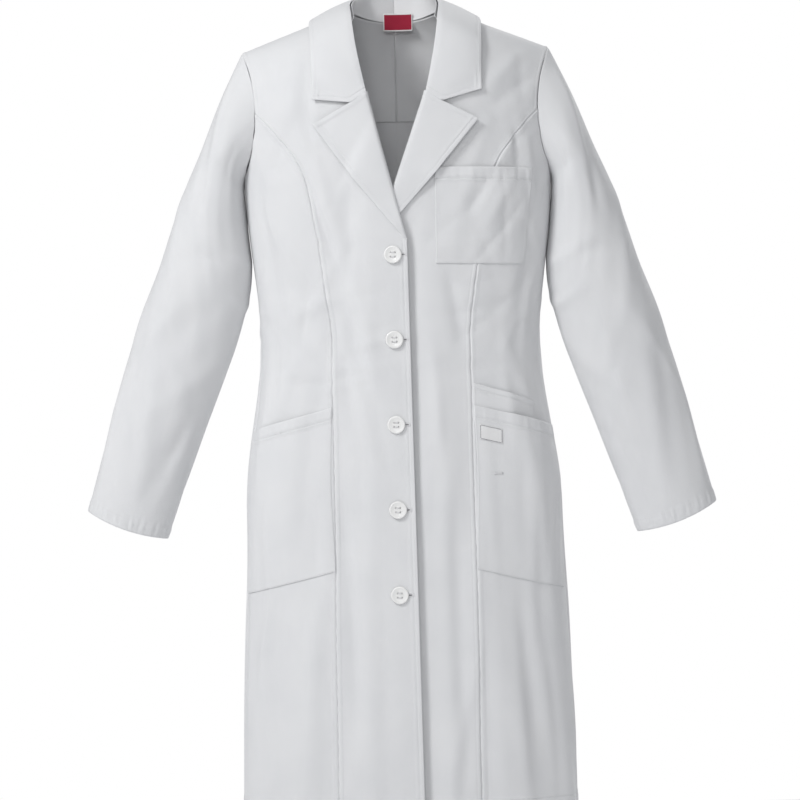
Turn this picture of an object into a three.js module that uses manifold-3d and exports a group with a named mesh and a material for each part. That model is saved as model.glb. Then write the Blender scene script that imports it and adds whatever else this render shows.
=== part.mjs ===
// Knee-length lab coat, women's cut: notched collar, five-button front that
// closes right over left, princess seams, one chest pocket, two hip pockets
// and a small phone pocket behind the left one.
// The wearer faces -Y, +X is the wearer's left, +Z is up. The origin is the
// centre of the neck opening, level with the back neck seam. Millimetres.
//
// The cloth lies on one smooth body surface. A place on it is given by an
// angle round the body (0 at centre front, 90 at the wearer's left side, 180 at
// centre back) and a height, and a lift is a distance out of that surface.

import * as THREE from 'three';
import * as BufferGeometryUtils from 'three/addons/utils/BufferGeometryUtils.js';
import Module from 'manifold-3d';

const wasm = await Module();
wasm.setup();

// ---- Cloth and seams ----
const cloth = 1.2;
const facingCloth = 0.8;
const seamGap = 0.35;
const layerGap = 0.5;

// ---- Body ----
const backLength = 1030;
const neckHalf = 62;
const neckSideRise = 10;
const shoulderHalf = 197;
const shoulderTipDrop = 42;
const shoulderRound = 110;
const yokeHalf = 207;
const underarmDrop = 203;
const armholeScoop = 17;
const chestHalf = 197;
const waistDrop = 420;
const waistHalf = 179;
const hipDrop = 630;
const hipHalf = 203;
const hemHalf = 216;
const chestDepth = 92;
const waistDepth = 88;
const hipDepth = 93;
const hemDepth = 98;
const flatness = 0.8;

// ---- Princess seams, at the armhole, bust, waist and hem ----
const bustDrop = 270;
const princessBust = 103;
const princessWaist = 88;
const princessHem = 90;
const sideSeamAngle = 84;

// ---- Front closure ----
const frontEdgeHem = 18;
const frontEdgeTop = 10;
const underlap = 30;
const breakDrop = 290;
const overlapLift = 4.2;
const overlapStart = 72;
const overlapFull = 34;
const overlapRise = 80;
const leftFoldX = 42;
const facingWidth = 62;
const buttonX = -8;
const firstButtonDrop = 308;
const buttonPitch = 108;
const buttonCount = 5;
const buttonRadius = 11.5;
const buttonThickness = 3;
const buttonHoleRadius = 1.3;
const buttonHoleSpread = 2.7;
const threadRadius = 1.6;
const buttonholeLength = 26;
const buttonholeHeight = 4.2;

// ---- Collar and lapels ----
const rollNeck = 52;
const gorgeX = 37;
const gorgeDrop = 101;
const lapelTipX = 103;
const lapelTipDrop = 137;
const collarPointX = 106;
const collarPointDrop = 100;
const collarStand = 42;
const standClear = 0.5;
const collarFallBack = 14;
const notchX = 60;
const notchDrop = 108;
const lapelLift = 1.9;
const lapelSpring = 5;
const lapelSpringLow = 245;
const lapelSpringHigh = 200;
const collarLift = 6;
const leftBreakUnder = 24;

// ---- Pockets ----
const pocketBulge = 9.5;
const chestPocket = { inner: 46, outer: 169, outerLow: 160, top: 197, bottom: 320, slant: 2 };
const hipPocket = { inner: 92, top: 500, bottom: 709, slant: 28 };
const hipPocketAngle = 79;
const phonePocket = { inner: 94, outer: 160, top: 474, slant: 27, cover: 22 };
const phonePocketBulge = 10.5;
const hipPocketBulge = 13;
const hipPocketLeftBulge = 18;
const pocketLabel = { inner: 97, outer: 127, drop: 30, height: 20, slant: 8 };
const neckLabelWidth = 35;
const neckLabelHeight = 20;
const labelThickness = 0.6;
const labelClear = 2.8;
const labelDrop = 4;

// ---- Sleeves, stations from the shoulder tip to the cuff ----
const cuffOuter = [402, -631];
const cuffInner = [302, -668];
const elbowOuter = [338, -400];
const elbowInner = [213, -424];
const bicepsOuter = [279, -232];
const bicepsInner = [200, -262];
const bicepsDepth = 54;
const elbowDepth = 47;
const cuffDepth = 33;
const sleeveSeamAngle = 100;

const hemZ = -backLength;
const radians = Math.PI / 180;

const white = { color: 0xe6e7ea, roughness: 0.85, metalness: 0 };
const buttonWhite = { color: 0xf1f1ee, roughness: 0.35, metalness: 0 };
const labelRed = { color: 0x9c1f33, roughness: 0.8, metalness: 0 };

const coat = new THREE.Group();

function addPiece(name, geometry, look) {
  const piece = new THREE.Mesh(geometry, new THREE.MeshStandardMaterial(look));
  piece.name = name;
  coat.add(piece);
  return piece;
}

// A smooth value along the height, through [drop, value] stations.
function profile(stations, z) {
  const drop = -z;
  if (drop <= stations[0][0]) return stations[0][1];
  for (let i = 1; i < stations.length; i += 1) {
    const [d0, v0] = stations[i - 1];
    const [d1, v1] = stations[i];
    if (drop <= d1) return THREE.MathUtils.lerp(v0, v1, THREE.MathUtils.smoothstep(drop, d0, d1));
  }
  return stations[stations.length - 1][1];
}

const halfWidth = (z) => profile([
  [shoulderTipDrop, yokeHalf],
  [underarmDrop, chestHalf],
  [waistDrop, waistHalf],
  [hipDrop, hipHalf],
  [backLength, hemHalf],
], z);

const halfDepth = (z) => profile([
  [underarmDrop, chestDepth],
  [waistDrop, waistDepth],
  [hipDrop, hipDepth],
  [backLength, hemDepth],
], z);

const princessX = (z) => profile([
  [bustDrop, princessBust],
  [waistDrop, princessWaist],
  [backLength, princessHem],
], z);

const frontEdgeX = (z) => THREE.MathUtils.mapLinear(z, -breakDrop, hemZ, frontEdgeTop, frontEdgeHem);

const shoulderSlope = (neckSideRise + shoulderTipDrop) / (shoulderHalf - neckHalf);
const shoulderZ = (x) => neckSideRise - shoulderSlope * (Math.abs(x) - neckHalf);

// The point of the body surface at an angle and height, moved out by lift.
function bodyPoint(angle, z, lift = 0) {
  const side = Math.sin(angle * radians);
  const facing = Math.cos(angle * radians);
  const x = halfWidth(z) * side;
  const roundStart = shoulderZ(x) - shoulderRound;
  const rise = THREE.MathUtils.clamp((z - roundStart) / shoulderRound, 0, 1);
  const depth = (halfDepth(z) + lift) * Math.abs(facing) ** flatness * Math.sqrt(1 - rise * rise);
  const height = rise > 0 ? roundStart + (shoulderRound + lift) * rise : z;
  const y = -Math.sign(facing) * Math.max(depth, seamGap / 2);
  return new THREE.Vector3((halfWidth(z) + lift) * side, y, height);
}

// The body place [angle, z] of a point given by its x and z.
function place(x, z, back = false) {
  const angle = Math.asin(THREE.MathUtils.clamp(x / halfWidth(z), -1, 1)) / radians;
  return [back ? 180 - angle : angle, z];
}

// Curves are functions of 0..1 that give a body place.
const mix = (a, b, t) => [a[0] + (b[0] - a[0]) * t, a[1] + (b[1] - a[1]) * t];
const line = (a, b) => (t) => mix(a, b, t);
const along = (xOf, z0, z1, back = false) => (t) => {
  const z = THREE.MathUtils.lerp(z0, z1, t);
  return place(xOf(z), z, back);
};
const joined = (first, second, share) => (t) => (
  t < share ? first(t / share) : second((t - share) / (1 - share))
);

function through(points, back = false) {
  const spline = new THREE.SplineCurve(points.map((p) => new THREE.Vector2(p[0], p[1])));
  return (t) => {
    const p = spline.getPoint(t);
    return place(p.x, p.y, back);
  };
}

// A place inside four boundary curves.
function patch({ left, right, bottom, top }) {
  return (u, v) => {
    const corners = [left(0), right(0), left(1), right(1)];
    return [0, 1].map((k) => {
      const across = left(v)[k] * (1 - u) + right(v)[k] * u;
      const up = bottom(u)[k] * (1 - v) + top(u)[k] * v;
      const low = corners[0][k] * (1 - u) + corners[1][k] * u;
      const high = corners[2][k] * (1 - u) + corners[3][k] * u;
      return across + up - (low * (1 - v) + high * v);
    });
  };
}

// A closed sheet between an inner and an outer face, each a function of u and v.
function sheet(inner, outer, columns, rows, ease = (v) => v) {
  const positions = [];
  const stride = rows + 1;
  for (const face of [inner, outer]) {
    for (let i = 0; i <= columns; i += 1) {
      for (let j = 0; j <= rows; j += 1) {
        positions.push(...face(i / columns, ease(j / rows)).toArray());
      }
    }
  }
  const layer = (columns + 1) * stride;
  const index = [];
  const quad = (a, b, c, d) => index.push(a, b, c, a, c, d);
  for (let i = 0; i < columns; i += 1) {
    for (let j = 0; j < rows; j += 1) {
      const a = i * stride + j;
      quad(a, a + 1, a + stride + 1, a + stride);
      quad(layer + a, layer + a + stride, layer + a + stride + 1, layer + a + 1);
    }
  }
  const rim = [];
  for (let j = 0; j < rows; j += 1) rim.push(j);
  for (let i = 0; i < columns; i += 1) rim.push(i * stride + rows);
  for (let j = rows; j > 0; j -= 1) rim.push(columns * stride + j);
  for (let i = columns; i > 0; i -= 1) rim.push(i * stride);
  rim.forEach((a, k) => {
    const b = rim[(k + 1) % rim.length];
    quad(a, layer + a, layer + b, b);
  });
  const geometry = new THREE.BufferGeometry();
  geometry.setAttribute('position', new THREE.Float32BufferAttribute(positions, 3));
  geometry.setIndex(index);
  return facingOut(geometry);
}

// Turns every face over if the closed mesh is inside out.
function facingOut(geometry) {
  const p = geometry.getAttribute('position');
  const index = geometry.getIndex().array;
  const [a, b, c] = [new THREE.Vector3(), new THREE.Vector3(), new THREE.Vector3()];
  let volume = 0;
  for (let i = 0; i < index.length; i += 3) {
    a.fromBufferAttribute(p, index[i]);
    b.fromBufferAttribute(p, index[i + 1]);
    c.fromBufferAttribute(p, index[i + 2]);
    volume += a.dot(b.cross(c));
  }
  if (volume < 0) {
    for (let i = 0; i < index.length; i += 3) {
      [index[i + 1], index[i + 2]] = [index[i + 2], index[i + 1]];
    }
  }
  return geometry;
}

// Cloth on the body: lift is a number or a function of the place and of u, v.
function bodySheet(area, columns, rows, { lift = 0, thickness = cloth, ease } = {}) {
  const liftAt = typeof lift === 'function' ? lift : () => lift;
  const face = (extra) => (u, v) => {
    const [angle, z] = area(u, v);
    return bodyPoint(angle, z, liftAt(angle, z, u, v) + extra);
  };
  return sheet(face(0), face(thickness), columns, rows, ease);
}

// Moves an area's edges in by half a seam gap, so that neighbours stay clear.
function inset(area, width, height) {
  const du = seamGap / 2 / width;
  const dv = seamGap / 2 / height;
  return (u, v) => area(du + u * (1 - 2 * du), dv + v * (1 - 2 * dv));
}

// The same area on the other side of the body.
const mirrored = (area) => (u, v) => {
  const [angle, z] = area(u, v);
  return [-angle, z];
};

// Panels that meet along a seam share its rows: below the split, above it up to
// the armhole, and along the armhole.
const lowerRows = 12;
const upperRows = 4;
const armholeRows = 6;

// Above the princess seam, rows crowd towards the shoulder, where the surface turns over.
const towardShoulder = (seamShare) => (v) => (
  v < seamShare ? v : 1 - (1 - seamShare) * ((1 - v) / (1 - seamShare)) ** 1.7
);

// ---- Armhole: round is 0 at the shoulder tip, 90 at the front, 180 underarm ----
const armholeCentre = -(underarmDrop + shoulderTipDrop) / 2;
const armholeHalf = (underarmDrop - shoulderTipDrop) / 2;

function armhole(round, back = false) {
  const x = shoulderHalf - armholeScoop * Math.sin(round * radians) ** 2;
  return place(x, armholeCentre + armholeHalf * Math.cos(round * radians), back);
}

const armholeArc = (from, to, back = false) => (t) => (
  armhole(THREE.MathUtils.lerp(from, to, t), back)
);

const princessTop = [shoulderHalf - armholeScoop, armholeCentre];

function princessUpper(fromDrop, back = false) {
  const start = [princessX(-fromDrop), -fromDrop];
  const turn = [princessBust + 19, -underarmDrop + 3];
  const near = [(turn[0] + princessTop[0]) / 2 + 2, (turn[1] + princessTop[1]) / 2 + 8];
  return through([start, turn, near, princessTop], back);
}

// ---- Torso panels ----
const panelWidth = 90;
const splitZ = -breakDrop;
const underarmPlace = armhole(180);
const sideSeam = (t) => {
  const angle = THREE.MathUtils.lerp(sideSeamAngle, underarmPlace[0], t ** 3);
  return [angle, THREE.MathUtils.lerp(hemZ, underarmPlace[1], t)];
};
const sideRows = lowerRows + upperRows;
const backRows = sideRows + armholeRows;
const backColumns = 5;
const frontRows = upperRows + armholeRows;
const princessWhole = (back) => joined(
  along(princessX, hemZ, splitZ, back),
  princessUpper(breakDrop, back),
  lowerRows / sideRows,
);

const sideFront = patch({
  left: princessWhole(false),
  right: sideSeam,
  bottom: line(place(princessHem, hemZ), [sideSeamAngle, hemZ]),
  top: armholeArc(90, 180),
});

const sideBack = patch({
  left: princessWhole(true),
  right: sideSeam,
  bottom: line(place(princessHem, hemZ, true), [sideSeamAngle, hemZ]),
  top: armholeArc(90, 180, true),
});

const neckSide = [neckHalf, neckSideRise];
const shoulderTip = [shoulderHalf, -shoulderTipDrop];
const backNeck = through([[0, 0], [neckHalf * 0.5, neckSideRise * 0.35], neckSide], true);
const backArea = patch({
  left: line([180, hemZ], [180, 0]),
  right: joined(princessWhole(true), armholeArc(90, 0, true), sideRows / backRows),
  bottom: line([180, hemZ], place(princessHem, hemZ, true)),
  top: joined(backNeck, through([neckSide, shoulderTip], true), 2 / backColumns),
});

for (const [side, turned] of [['left', false], ['right', true]]) {
  const own = (area) => (turned ? mirrored(area) : area);
  const frontPanel = inset(sideFront, panelWidth, backLength);
  const backPanel = inset(sideBack, panelWidth, backLength);
  const centreBack = inset(backArea, panelWidth, backLength);
  addPiece(`side_front_${side}`, bodySheet(own(frontPanel), 4, sideRows), white);
  addPiece(`side_back_${side}`, bodySheet(own(backPanel), 5, sideRows), white);
  addPiece(`back_${side}`, bodySheet(own(centreBack), backColumns, backRows, {
    ease: towardShoulder(sideRows / backRows),
  }), white);
}

// ---- Fronts. Own-side distances grow towards the side that the front is on ----
const breakOver = { left: -leftBreakUnder, right: -frontEdgeTop };

function rollLine(side) {
  const gorge = [gorgeX, -gorgeDrop];
  const start = [breakOver[side], splitZ];
  const middle = [(gorge[0] + start[0]) / 2, (gorge[1] + start[1]) / 2];
  return joined(through([start, middle, gorge]), through([gorge, [rollNeck - 2, -46], neckSide]), 0.6);
}

function upperFront(side) {
  return patch({
    left: rollLine(side),
    right: joined(princessUpper(breakDrop), armholeArc(90, 0), upperRows / frontRows),
    bottom: line(place(breakOver[side], splitZ), place(princessX(splitZ), splitZ)),
    top: through([neckSide, shoulderTip]),
  });
}

// The right front climbs over the left one before it reaches centre front.
function overlap(angle, z) {
  const own = -halfWidth(z) * Math.sin(angle * radians);
  const below = 1 - THREE.MathUtils.smoothstep(z, -gorgeDrop - overlapRise, -gorgeDrop);
  return overlapLift * below * (1 - THREE.MathUtils.smoothstep(own, overlapFull, overlapStart));
}

function frontStrip(innerX, outerX, from = hemZ, to = splitZ) {
  return patch({
    left: along(innerX, from, to),
    right: along(outerX, from, to),
    bottom: line(place(innerX(from), from), place(outerX(from), from)),
    top: line(place(innerX(to), to), place(outerX(to), to)),
  });
}

const wide = (area) => inset(area, panelWidth, breakDrop);
const fullFront = (area) => inset(area, panelWidth, backLength - breakDrop);

const ease = towardShoulder(upperRows / frontRows);
addPiece('left_front_upper', bodySheet(wide(upperFront('left')), 6, frontRows, { ease }), white);
addPiece('right_front_upper', bodySheet(
  mirrored(wide(upperFront('right'))), 6, frontRows, { lift: overlap, ease },
), white);
addPiece('left_front', bodySheet(fullFront(frontStrip(() => leftFoldX, princessX)), 2, lowerRows), white);
addPiece('left_front_edge', bodySheet(
  fullFront(frontStrip(() => -underlap, () => leftFoldX)), 3, lowerRows,
), white);

// ---- Facings behind the front edges ----
const facingArea = {
  left: frontStrip(() => -underlap + 1, () => -underlap + facingWidth),
  right: frontStrip((z) => -frontEdgeX(z) + 1, (z) => -frontEdgeX(z) + facingWidth),
};
addPiece('left_front_facing', bodySheet(fullFront(facingArea.left), 3, lowerRows, {
  lift: -layerGap - facingCloth,
  thickness: facingCloth,
}), white);

// ---- Buttonholes, cut through the right front and its facing ----
function toManifold(geometry) {
  const plain = geometry.clone();
  plain.deleteAttribute('normal');
  plain.deleteAttribute('uv');
  const merged = BufferGeometryUtils.mergeVertices(plain, 1e-4);
  return new wasm.Manifold(new wasm.Mesh({
    numProp: 3,
    vertProperties: new Float32Array(merged.getAttribute('position').array),
    triVerts: new Uint32Array(merged.getIndex().array),
  }));
}

function fromManifold(solid) {
  const mesh = solid.getMesh();
  const geometry = new THREE.BufferGeometry();
  geometry.setAttribute('position', new THREE.Float32BufferAttribute(mesh.vertProperties, 3));
  geometry.setIndex(Array.from(mesh.triVerts));
  return geometry;
}

const buttonZ = (i) => -(firstButtonDrop + i * buttonPitch);
const buttonPlaces = Array.from({ length: buttonCount }, (_, i) => place(buttonX, buttonZ(i)));

function cutButtonholes(geometry) {
  let solid = toManifold(geometry);
  for (const [angle, z] of buttonPlaces) {
    const centre = bodyPoint(angle, z, overlapLift);
    const slot = new THREE.BoxGeometry(buttonholeLength, 40, buttonholeHeight);
    slot.translate(centre.x, centre.y, centre.z);
    solid = solid.subtract(toManifold(slot));
  }
  return fromManifold(solid);
}

const rightFrontArea = frontStrip((z) => -frontEdgeX(z), princessX);
const rightFront = bodySheet(mirrored(fullFront(rightFrontArea)), 5, lowerRows, { lift: overlap });
addPiece('right_front', cutButtonholes(rightFront), white);
const rightFacing = bodySheet(mirrored(fullFront(facingArea.right)), 3, lowerRows, {
  lift: (angle, z) => overlap(angle, z) - layerGap - facingCloth,
  thickness: facingCloth,
});
addPiece('right_front_facing', cutButtonholes(rightFacing), white);

// ---- Lapels, folded back over the fronts ----
function lapelArea(side) {
  const tip = [lapelTipX, -lapelTipDrop];
  const gorge = [gorgeX + 2, -gorgeDrop - 5];
  const start = [breakOver[side] + 1, splitZ + 2];
  const outerStart = [breakOver[side] + 6, splitZ + 2];
  const crest = [notchX + 8, -notchDrop - 9];
  return patch({
    left: through([start, gorge]),
    right: through([outerStart, tip]),
    bottom: line(place(...start), place(...outerStart)),
    top: through([gorge, crest, tip]),
  });
}

// The outer edge of a lapel stands off the coat, over the chest pocket's corner.
const spring = (z, u) => (
  lapelSpring * u * THREE.MathUtils.smoothstep(z, -lapelSpringLow, -lapelSpringHigh)
);
addPiece('left_lapel', bodySheet(lapelArea('left'), 4, 6, {
  lift: (angle, z, u) => lapelLift + spring(z, u),
}), white);
addPiece('right_lapel', bodySheet(mirrored(lapelArea('right')), 4, 6, {
  lift: (angle, z, u) => overlap(angle, z) + lapelLift + spring(z, u),
}), white);

// ---- Collar: a stand round the neck and a fall that turns down over it ----
const surfacePoint = (x, z, lift, back = false) => bodyPoint(...place(x, z, back), lift);
const at = (x, y, z) => new THREE.Vector3(x, y, z);
const neckBackY = surfacePoint(0, 0, 0, true).y;

// The stand's foot meets the neck edges of the back and the fronts, end to end.
const neckEdge = (x, z, back) => surfacePoint(x, z, cloth / 2, back).add(at(0, 0, seamGap + standClear));
const standFoot = [
  neckEdge(0, 0, true),
  neckEdge(neckHalf / 2, neckSideRise * 0.35, true),
  neckEdge(neckHalf - 2, neckSideRise, true),
  neckEdge(neckHalf - 7, -8, false),
];
const standTop = [
  at(0, neckBackY + 3, collarStand - 2),
  at(neckHalf * 0.56, neckBackY * 0.8, collarStand - 9),
  at(rollNeck + 1, 7, 25),
  surfacePoint(neckHalf - 11, -4, 2),
];
const fallTop = [
  at(0, neckBackY + 4.4, collarStand),
  at(neckHalf * 0.6, neckBackY * 0.85, collarStand - 7),
  at(rollNeck + 4.5, 8, 27),
  surfacePoint(neckHalf - 8, -8, collarLift + 3),
  surfacePoint(neckHalf - 13, -48, collarLift + 1),
  surfacePoint(gorgeX, -gorgeDrop + 4, collarLift),
];
const fallMiddle = [
  at(0, neckBackY + 12, collarStand * 0.45),
  at(neckHalf * 0.98, neckBackY * 0.9, 12),
  at((rollNeck + collarPointX) / 2 + 3, 7, 16),
  surfacePoint((neckHalf + collarPointX) / 2, -26, collarLift + 4),
  surfacePoint((neckHalf + collarPointX) / 2, -64, collarLift + 2),
  surfacePoint(notchX + 4, -notchDrop + 1, collarLift),
];
const fallEdge = [
  surfacePoint(0, -collarFallBack, collarLift + 1, true),
  surfacePoint(neckHalf + 10, -collarFallBack - 3, collarLift + 1, true),
  at(collarPointX + 1, 3, shoulderZ(collarPointX) + collarLift + 2),
  surfacePoint(collarPointX, -38, collarLift + 2),
  surfacePoint(collarPointX, -70, collarLift),
  surfacePoint(collarPointX, -collarPointDrop, collarLift),
];

// A closed band through curves that each run along the collar.
function band(curves, columns, rows, thickness, side) {
  const splines = curves.map((points) => new THREE.CatmullRomCurve3(points));
  const middle = (u, v) => {
    const across = splines.map((spline) => spline.getPoint(u));
    const p = across.length === 3
      ? new THREE.QuadraticBezierCurve3(
        across[0],
        across[1].clone().multiplyScalar(2).addScaledVector(across[0], -0.5).addScaledVector(across[2], -0.5),
        across[2],
      ).getPoint(v)
      : across[0].clone().lerp(across[1], v);
    p.x *= side;
    return p;
  };
  const step = 1e-3;
  const normal = (u, v) => {
    const u0 = Math.min(u, 1 - step);
    const v0 = Math.min(v, 1 - step);
    const here = middle(u0, v0);
    const alongU = middle(u0 + step, v0).sub(here);
    const alongV = middle(u0, v0 + step).sub(here);
    return alongU.cross(alongV).normalize();
  };
  const face = (shift) => (u, v) => middle(u, v).addScaledVector(normal(u, v), shift);
  return sheet(face(-thickness / 2), face(thickness / 2), columns, rows);
}

// Half bands start off the centre, so that the two halves stay clear.
const centreClear = (points) => {
  const shifted = points.map((p) => p.clone());
  shifted[0].x += seamGap;
  return shifted;
};

for (const [side, sign] of [['left', 1], ['right', -1]]) {
  const stand = [standFoot, standTop].map(centreClear);
  const fall = [fallTop, fallMiddle, fallEdge].map(centreClear);
  addPiece(`collar_stand_${side}`, band(stand, 8, 2, cloth, sign), white);
  addPiece(`collar_${side}`, band(fall, 12, 4, cloth, sign), white);
}

// ---- Facing and label inside the back neck ----
// Each half of the facing spans the first columns and last rows of a back panel.
const facingColumns = 2;
const facingRows = 4;
const neckFacing = (u, v) => backArea(
  seamGap / panelWidth + u * (facingColumns / backColumns),
  towardShoulder(sideRows / backRows)(1 - (1 - v) * (facingRows / backRows)),
);
for (const [side, turned] of [['left', false], ['right', true]]) {
  addPiece(`back_neck_facing_${side}`, bodySheet(
    turned ? mirrored(neckFacing) : neckFacing,
    facingColumns,
    facingRows,
    { lift: -layerGap - facingCloth, thickness: facingCloth },
  ), white);
}

// The label bends at centre back with the facing that it is sewn to.
const labelFace = (lift) => (u, v) => {
  const across = (2 * u - 1) * (neckLabelWidth / 2);
  const z = -labelDrop - neckLabelHeight * (1 - v);
  const fold = (neckHalf / 2) * Math.sign(across || 1);
  const centre = bodyPoint(180, z, lift);
  return centre.lerp(surfacePoint(fold, z, lift, true), across / fold);
};
const labelLift = -2 * layerGap - facingCloth - labelClear - labelThickness;
addPiece('neck_label', sheet(labelFace(labelLift), labelFace(labelLift + labelThickness), 2, 2), labelRed);

// ---- Pockets: sewn at the sides and the bottom, open at the top ----
// Corners are at the inner edge, and at outer(z) where the top and bottom slant to.
function pocketArea({ inner, outer, top, bottom, slant, bottomSlant = slant }) {
  const low = place(inner, -bottom);
  const high = place(inner, -top);
  const lowOut = outer(-bottom - bottomSlant);
  const highOut = outer(-top - slant);
  return patch({
    left: line(low, high),
    right: line(lowOut, highOut),
    bottom: line(low, lowOut),
    top: line(high, highOut),
  });
}

const pocketBase = cloth + seamGap;
const pouch = (base, bulge) => (angle, z, u, v) => (
  base + bulge * Math.sin(Math.PI * u) ** 1.4 * Math.sin(Math.PI / 2 * v) ** 0.6
);

const chestOuter = (z) => place(
  THREE.MathUtils.mapLinear(z, -chestPocket.top, -chestPocket.bottom, chestPocket.outer, chestPocket.outerLow),
  z,
);
addPiece('chest_pocket', bodySheet(pocketArea({ ...chestPocket, outer: chestOuter }), 10, 5, {
  lift: pouch(pocketBase, pocketBulge),
}), white);

const hipOuter = (z) => [hipPocketAngle, z];
const hipArea = pocketArea({ ...hipPocket, outer: hipOuter });
addPiece('hip_pocket_right', bodySheet(mirrored(hipArea), 10, 6, {
  lift: pouch(pocketBase, hipPocketBulge),
}), white);

// The left hip pocket lies over the phone pocket, which stands out above it.
const phoneLayer = facingCloth + seamGap;
const hipLeftLift = (angle, z, u, v) => (
  pouch(pocketBase, hipPocketLeftBulge)(angle, z, u, v) + phoneLayer * THREE.MathUtils.smoothstep(v, 0.5, 0.7)
);
addPiece('hip_pocket_left', bodySheet(hipArea, 10, 6, { lift: hipLeftLift }), white);

const phoneBottom = phonePocket.top + phonePocket.slant + phonePocket.cover;
const phoneArea = pocketArea({
  ...phonePocket,
  bottom: phoneBottom,
  bottomSlant: 0,
  outer: (z) => place(phonePocket.outer, z),
});
addPiece('phone_pocket', bodySheet(phoneArea, 8, 4, {
  lift: pouch(pocketBase, phonePocketBulge),
  thickness: facingCloth,
}), white);

// ---- Label on the left hip pocket ----
const labelTop = hipPocket.top + pocketLabel.drop;
const pocketLabelArea = pocketArea({
  inner: pocketLabel.inner,
  outer: (z) => place(pocketLabel.outer, z),
  top: labelTop,
  bottom: labelTop + pocketLabel.height,
  slant: pocketLabel.slant,
});
const hipPocketInnerAngle = place(hipPocket.inner, -labelTop)[0];
const hipPocketHeight = hipPocket.bottom - hipPocket.top;
const overHipPocket = (angle, z) => {
  const u = (angle - hipPocketInnerAngle) / (hipPocketAngle - hipPocketInnerAngle);
  const v = 1 - (-z - hipPocket.top - hipPocket.slant * u) / hipPocketHeight;
  return hipLeftLift(angle, z, u, v) + cloth + layerGap;
};
addPiece('pocket_label', bodySheet(pocketLabelArea, 4, 2, {
  lift: overHipPocket,
  thickness: labelThickness,
}), buttonWhite);

// ---- Buttons on thread shanks ----
function buttonGeometry() {
  const outline = new THREE.Shape();
  outline.absarc(0, 0, buttonRadius, 0, 2 * Math.PI);
  for (const [sx, sy] of [[1, 1], [1, -1], [-1, 1], [-1, -1]]) {
    const corners = [[1, 0], [0, -1], [-1, 0], [0, 1]].map(([dx, dy]) => new THREE.Vector2(
      sx * buttonHoleSpread + dx * buttonHoleRadius,
      sy * buttonHoleSpread + dy * buttonHoleRadius,
    ));
    outline.holes.push(new THREE.Path(corners));
  }
  const disc = new THREE.ExtrudeGeometry(outline, {
    depth: buttonThickness,
    bevelEnabled: false,
    curveSegments: 12,
  });
  disc.rotateX(Math.PI / 2);
  return disc;
}

buttonPlaces.forEach(([angle, z], i) => {
  const under = bodyPoint(angle, z, cloth + seamGap);
  const seat = bodyPoint(angle, z, overlapLift + cloth + layerGap + seamGap);
  const button = addPiece(`button_${i + 1}`, buttonGeometry(), buttonWhite);
  button.position.copy(seat);
  const length = under.y - seat.y - seamGap;
  const thread = addPiece(
    `button_thread_${i + 1}`,
    new THREE.CylinderGeometry(threadRadius, threadRadius, length, 10),
    white,
  );
  thread.position.set(seat.x, under.y - length / 2, seat.z);
});

// ---- Sleeves: an oval tube hung from the armhole, in a top and an under half ----
const lerpPair = (a, b, t) => [a[0] + (b[0] - a[0]) * t, a[1] + (b[1] - a[1]) * t];

// Stations below the armhole: outer point, inner point and half depth.
const sleeveStations = [
  [[224, -95], [chestHalf + 4, -underarmDrop - 10], 52],
  [lerpPair(bicepsOuter, [224, -95], 0.45), [chestHalf + 4, -underarmDrop - 28], 54],
  [bicepsOuter, bicepsInner, bicepsDepth],
  [lerpPair(bicepsOuter, elbowOuter, 0.45), [chestHalf + 1, -340], 52],
  [elbowOuter, elbowInner, elbowDepth],
  [lerpPair(elbowOuter, cuffOuter, 0.5), lerpPair(elbowInner, cuffInner, 0.46), 40],
  [cuffOuter, cuffInner, cuffDepth],
];

// Round is 0 on the outer side, 90 at the front, 180 on the inner side.
function sleeveCurve(round, lift) {
  const c = Math.cos(round * radians);
  const s = Math.sin(round * radians);
  const back = s < 0;
  const [angle, z] = armhole(Math.abs(((round + 180) % 360 + 360) % 360 - 180), back);
  const start = bodyPoint(angle, z, lift);
  start.x += cloth + seamGap;
  const points = [start];
  for (const [outer, inner, depth] of sleeveStations) {
    const half = at((outer[0] - inner[0]) / 2, 0, (outer[1] - inner[1]) / 2);
    const width = half.length();
    const middle = at((outer[0] + inner[0]) / 2, 0, (outer[1] + inner[1]) / 2);
    const p = middle.addScaledVector(half, c * (width + lift) / width);
    p.y = -s * (depth + lift);
    points.push(p);
  }
  return new THREE.CatmullRomCurve3(points, false, 'centripetal');
}

const sleeveRows = 11;

function sleeveHalf(from, to, columns, sign) {
  const face = (lift) => (u, v) => {
    const p = sleeveCurve(THREE.MathUtils.lerp(from, to, u), lift).getPoint(v);
    p.x *= sign;
    return p;
  };
  return sheet(face(0), face(cloth), columns, sleeveRows);
}

const seamTurn = 0.3;
for (const [side, sign] of [['left', 1], ['right', -1]]) {
  const top = sleeveHalf(-sleeveSeamAngle + seamTurn, sleeveSeamAngle - seamTurn, 8, sign);
  const under = sleeveHalf(sleeveSeamAngle + seamTurn, 360 - sleeveSeamAngle - seamTurn, 6, sign);
  addPiece(`top_sleeve_${side}`, top, white);
  addPiece(`under_sleeve_${side}`, under, white);
}

export default coat;
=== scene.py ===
"""White knee-length lab coat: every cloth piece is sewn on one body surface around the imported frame.

Lengths are in millimetres until a mesh is made. The wearer faces -Y and +X is the wearer's left.
A place on the coat is an angle round the body, 0 at centre front and 180 at centre back, and a height.
"""

import math

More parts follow.
